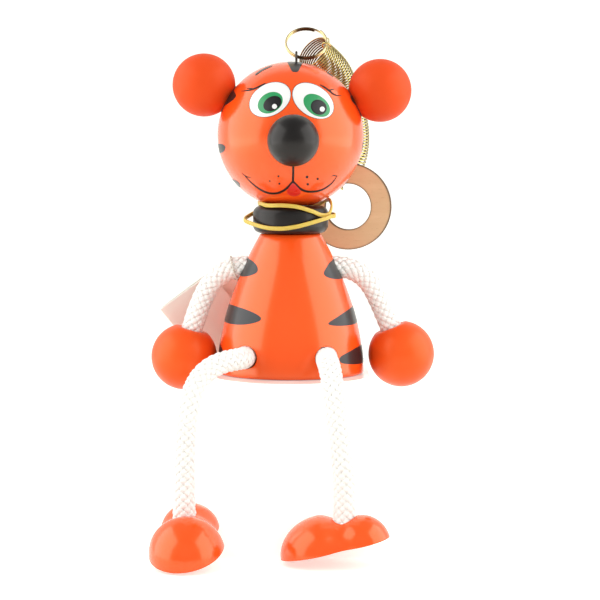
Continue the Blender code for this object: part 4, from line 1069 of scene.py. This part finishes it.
# Each point's share of that painted shade: 1 on the side that faces the coil's middle.
inside = shape.verts.layers.float.new("inside")
places = np.array([tuple(vertex.co) for vertex in shape.verts])
near = np.concatenate([np.linalg.norm(part[:, None] - middle[None, ::6], axis=2).min(axis=1)
                       for part in np.array_split(places, 8)])
for vertex, reach in zip(shape.verts, near):
    vertex[inside] = min(max(INNER_SHADE_FROM + (COIL_RADIUS - reach) / COIL_WIRE, 0.0), 1.0)
coil = piece_from(shape, "brassed_coil_spring", spring_brass, 180.0)
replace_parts(coil, "coil_spring")
pull_start, pull = Vector((0.0110, 0.0160, 0.1315)), Vector((0.0112, 0.0200, -0.0503))
opens = min(1.0, pull.dot(curls[-3] - pull_start) / pull.length_squared)
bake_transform(coil, "torso", "hand_ring", start=tuple(pull_start), end=tuple(pull_start + pull * opens))
shape = wound(bmesh.new(), [*curls[-3:], *last_run[1:-1], *low_hook], COIL_WIRE, 8)
end_hook = piece_from(shape, "brassed_coil_end_hook", spring_brass, 180.0)
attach(end_hook, "hand_ring")


# Finger ring: a flat ring cut by laser from 3.4 mm birch ply, its edges burnt brown.
# The spring's end goes through its hole.
ply = Finish("birch_ply", Specular_IOR_Level=0.3)
grain = ply.specks(240.0, 5.0, (0.12, 1.0, 1.0), 0.6)
pores = ply.specks(1900.0, 2.0, (0.10, 1.0, 1.0))
burn = ply.along_piece("burn")
ply_face = ply.blend(grain, (0.65, 0.45, 0.24), (0.84, 0.65, 0.40))
ply_face = ply.blend((pores > 0.66) * 0.28, ply_face, (0.52, 0.33, 0.18))
burnt_edge = ply.blend(ply.specks(500.0), (0.06, 0.032, 0.018), (0.17, 0.09, 0.045))
ply.wear(Base_Color=ply.blend(burn, ply_face, burnt_edge), Roughness=burn * 0.2 + 0.6)
ply.rough_skin(grain * 0.5 + pores * 0.5, 0.00012)
half, FINGER_SIDES = FINGER_THICKNESS / 2, 120
GLUE_LINES = [
    (0, 0.94), (0, 0.36), (0.00007, 0.33), (0.00007, 0.3), (0, 0.27), (0, -0.27), (0.00007, -0.3),
    (0.00007, -0.33), (0, -0.36), (0, -0.94),
]
SCORCH = [(0.0010, 0.0), (0.00045, 0.15), (0.00012, 1.0)]
section = [(FINGER_RADIUS - back, half, burnt) for back, burnt in SCORCH]
section += [(FINGER_RADIUS - back, half * share, 1.0) for back, share in GLUE_LINES]
section += [(FINGER_RADIUS - back, -half, burnt) for back, burnt in SCORCH[::-1]]
section += [(FINGER_HOLE + back, -half, burnt) for back, burnt in SCORCH]
section += [(FINGER_HOLE + back, -half * share, 1.0) for back, share in GLUE_LINES]
section += [(FINGER_HOLE + back, half, burnt) for back, burnt in SCORCH[::-1]]
place = Matrix.Translation(FINGER_RING) @ FINGER_TURN.to_4x4()
place = place @ Matrix.Rotation(math.pi / 2, 4, "X")
shape = lathe(bmesh.new(), [(r, z) for r, z, _ in section], FINGER_SIDES, place, closed=True,
              layers={"burn": [[burnt] * FINGER_SIDES for _, _, burnt in section]})
finger_ring = piece_from(shape, "plywood_finger_ring", ply)
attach(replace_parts(finger_ring, "finger_ring"), "hand_ring")


# Rubber band: a plain flat yellow band of moulded rubber, put twice round the collar by hand.
# Its route is degrees round from the right, way out in collar radii, and height over the collar's
# top in collar heights.
BAND_ROUTE = [
    (183, 1.224, -0.52), (207, 1.141, -0.634), (234, 1.09, -0.759), (256, 1.09, -0.786),
    (276, 1.096, -0.723), (296, 1.122, -0.598), (318, 1.18, -0.45), (334, 1.185, -0.37),
    (352, 1.18, -0.37), (375, 1.16, -0.33), (410, 1.128, -0.348), (450, 1.15, -0.491),
    (475, 1.19, -0.4), (490, 1.16, -0.16), (505, 1.03, 0.06), (520, 0.9, 0.085), (537, 0.82, 0.085),
    (556, 0.8, 0.085), (575, 0.87, 0.075), (592, 0.955, 0.045), (620, 0.987, 0.055),
    (641, 1.006, 0), (662, 1.071, -0.161), (678, 1.083, -0.304), (698, 1.083, -0.295),
    (712, 1.096, -0.045), (728, 1.064, 0.17), (748, 1.083, 0.187), (775, 1.103, -0.045),
    (810, 1.07, -0.15), (850, 1.055, -0.17), (865, 1.08, -0.24), (882, 1.16, -0.38),
]
BAND_WIDTH, BAND_THICKNESS = 0.0017, 0.0009
rubber = plain_finish("yellow_rubber", (300.0,), (0.54, 0.39, 0.05), (0.76, 0.58, 0.11), (2500.0,),
                      0.00006, Roughness=0.45, Subsurface_Weight=0.15, Subsurface_Scale=0.001)


def squared(share, power):
    """Pushes a sine outward, so that a round section gets nearly flat sides."""
    return math.copysign(abs(share)**power, share)


def closed_line(route, step, search):
    """An even line once round a closed route; search is how many points its ends may shift."""
    line = even_line(route[-3:] + route + route[:3], step)
    gaps = np.linalg.norm(line - np.array(route[0]), axis=1)
    return line[np.argmin(gaps[:search]):len(line) - search + np.argmin(gaps[-search:])]


route = [(out * COLLAR_RADIUS * math.cos(math.radians(a)),
          out * COLLAR_RADIUS * math.sin(math.radians(a)),
          COLLAR_TOP + over * (COLLAR_TOP - COLLAR_BOTTOM)) for a, out, over in BAND_ROUTE]
loop = closed_line(route, 0.00045, 60)
ahead = np.roll(loop, -1, axis=0) - np.roll(loop, 1, axis=0)
rings = []
for point, direction in zip(loop, ahead):
    direction = Vector(direction).normalized()
    out = Vector((point[0], point[1], 0)).normalized()
    out = (out - direction * out.dot(direction)).normalized()
    tall = direction.cross(out)
    rings.append([Vector(point) + out * BAND_THICKNESS / 2 * squared(math.cos(a), 0.5)
                  + tall * BAND_WIDTH / 2 * squared(math.sin(a), 0.6)
                  for a in np.radians(np.arange(0, 360, 30))])
shape = bmesh.new()
skin(shape, rings, looped=True)
band = piece_from(shape, "yellow_rubber_band", rubber, sharp=70.0)
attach(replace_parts(band, "rubber_band"), "torso")


# Hang tag: a folded card with a punched hole, left plain, behind the left arm.
# Two-ply cotton thread ties it round the arm rope.
TAG_AZIMUTH, TAG_LEAN, TAG_ROLL = math.radians(12.0), math.radians(18.0), math.radians(38.0)
TAG_CORNER = Vector((-0.0552, 0.0162, 0.0250))
TAG_LENGTH, TAG_FRONT, TAG_BACK, CARD, TAG_SPREAD = 0.0320, 0.0266, 0.0330, 0.0004, 0.0022
TAG_HOLE, TAG_HOLE_RADIUS, LEAF_BOW = (0.0300, -0.0036), 0.0015, 0.0004
level = Vector((math.cos(TAG_AZIMUTH), math.sin(TAG_AZIMUTH), 0))
rise = Vector((math.sin(TAG_AZIMUTH) * math.sin(TAG_LEAN),
               -math.cos(TAG_AZIMUTH) * math.sin(TAG_LEAN), math.cos(TAG_LEAN)))
upward = level * math.cos(TAG_ROLL) + rise * math.sin(TAG_ROLL)
fold = level * math.sin(TAG_ROLL) - rise * math.cos(TAG_ROLL)
tag_place = Matrix((upward, upward.cross(fold), -fold)).transposed().to_4x4()
tag_place = Matrix.Translation(TAG_CORNER) @ tag_place
card = Finish("cream_card", Roughness=0.8, Specular_IOR_Level=0.2)
fibres = card.specks(1400.0, 5.0, (1.0, 1.0, 1.0), 0.7)
card.wear(Base_Color=card.blend(fibres, (0.96, 0.93, 0.84), (0.98, 0.96, 0.90)))
card.rough_skin(fibres * 0.6 + card.specks(300.0) * 0.4, 0.00010)


def leaf_bow(share):
    """How far a leaf bows out between its fold and its free edge."""
    return LEAF_BOW * math.sin(math.pi * share)


front = [(TAG_FRONT * s, leaf_bow(s) * 0.5) for s in np.linspace(0.02, 1.0, 14)]
back = [(TAG_BACK * s,
         CARD + TAG_SPREAD / 3 + (TAG_SPREAD - TAG_SPREAD / 3 - CARD) * s + leaf_bow(s))
        for s in np.linspace(0.02, 1.0, 14)]
outline = front + [(x, y + CARD) for x, y in front[:0:-1]] + [(CARD, CARD + TAG_SPREAD / 6)]
outline += back[1:] + [(x, y + CARD) for x, y in back[::-1]]
outline += [(0.0, CARD + TAG_SPREAD / 3), (-0.0002, CARD + TAG_SPREAD / 6), (0.0, 0.0002)]
rings = [[tag_place @ Vector((x, y, -z)) for x, y in outline]
         for z in np.linspace(0, TAG_LENGTH, 12)]
shape = bmesh.new()
skin(shape, rings)
tag = piece_from(shape, "cream_hang_tag", card)
drilled(tag, (tag_place @ Vector((TAG_HOLE[0], -0.002, TAG_HOLE[1])),
              tag_place @ Vector((TAG_HOLE[0], 0.006, TAG_HOLE[1])), TAG_HOLE_RADIUS))
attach(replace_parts(tag, "hang_tag"), "tag")

THREAD, THREAD_X, THREAD_SLACK, THREAD_OFF_ROPE = 0.0004, -0.02352, 0.0016, 0.00045
PLY_RADIUS, PLY_OFFSET, PLY_TWISTS = 0.00023, 0.00020, 30
string = plain_finish("cotton_thread", (1500.0,), (0.62, 0.56, 0.47), (0.80, 0.76, 0.69), (6000.0,),
                      0.00008, Roughness=0.9, Sheen_Weight=0.2)
held = 1 + int(np.argmin(np.abs(left_arm_line[1:-1, 0] - THREAD_X)))
arm = Vector(left_arm_line[held])
along_arm = Vector(left_arm_line[held - 1] - left_arm_line[held + 1]).normalized()
over_arm = along_arm.cross(Vector((0, 1, 0)))
over_arm = over_arm * math.copysign(1.0, over_arm.z)
knots = [arm + (Vector((0, math.cos(a), 0)) + over_arm * math.sin(a)) * (ROPE / 2 + THREAD_OFF_ROPE)
         for a in np.radians([8, 36, 64, 92, 120, 148, 176, 204, 232, 262])]
up, along_fold = TAG_HOLE
behind = TAG_SPREAD + THREAD_SLACK
through = [tag_place @ Vector((x, y, along_fold)) for x, y in (
    (up, TAG_SPREAD / 3), (up, TAG_SPREAD), (up + THREAD, behind),
    (up + THREAD_SLACK, behind + 2 * THREAD), (TAG_BACK + THREAD_SLACK, behind))]
knots += [knots[-1].lerp(through[0], 0.5)] + through
knots.append(knots[-1].lerp(knots[0], 0.5))
loop = closed_line(knots, 0.00025, 120)
ahead, side, up_way = frames_along(loop)
shape = bmesh.new()
for half_turn in (0.0, math.pi):
    angle = np.linspace(0, 2 * math.pi * PLY_TWISTS, len(loop)) + half_turn
    ply_line = loop + PLY_OFFSET * (side * np.cos(angle)[:, None] + up_way * np.sin(angle)[:, None])
    wound(shape, ply_line, PLY_RADIUS, 8, looped=True)
thread = piece_from(shape, "two_ply_tag_thread", string, 180.0)
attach(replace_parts(thread, "tag_thread"), "tag")
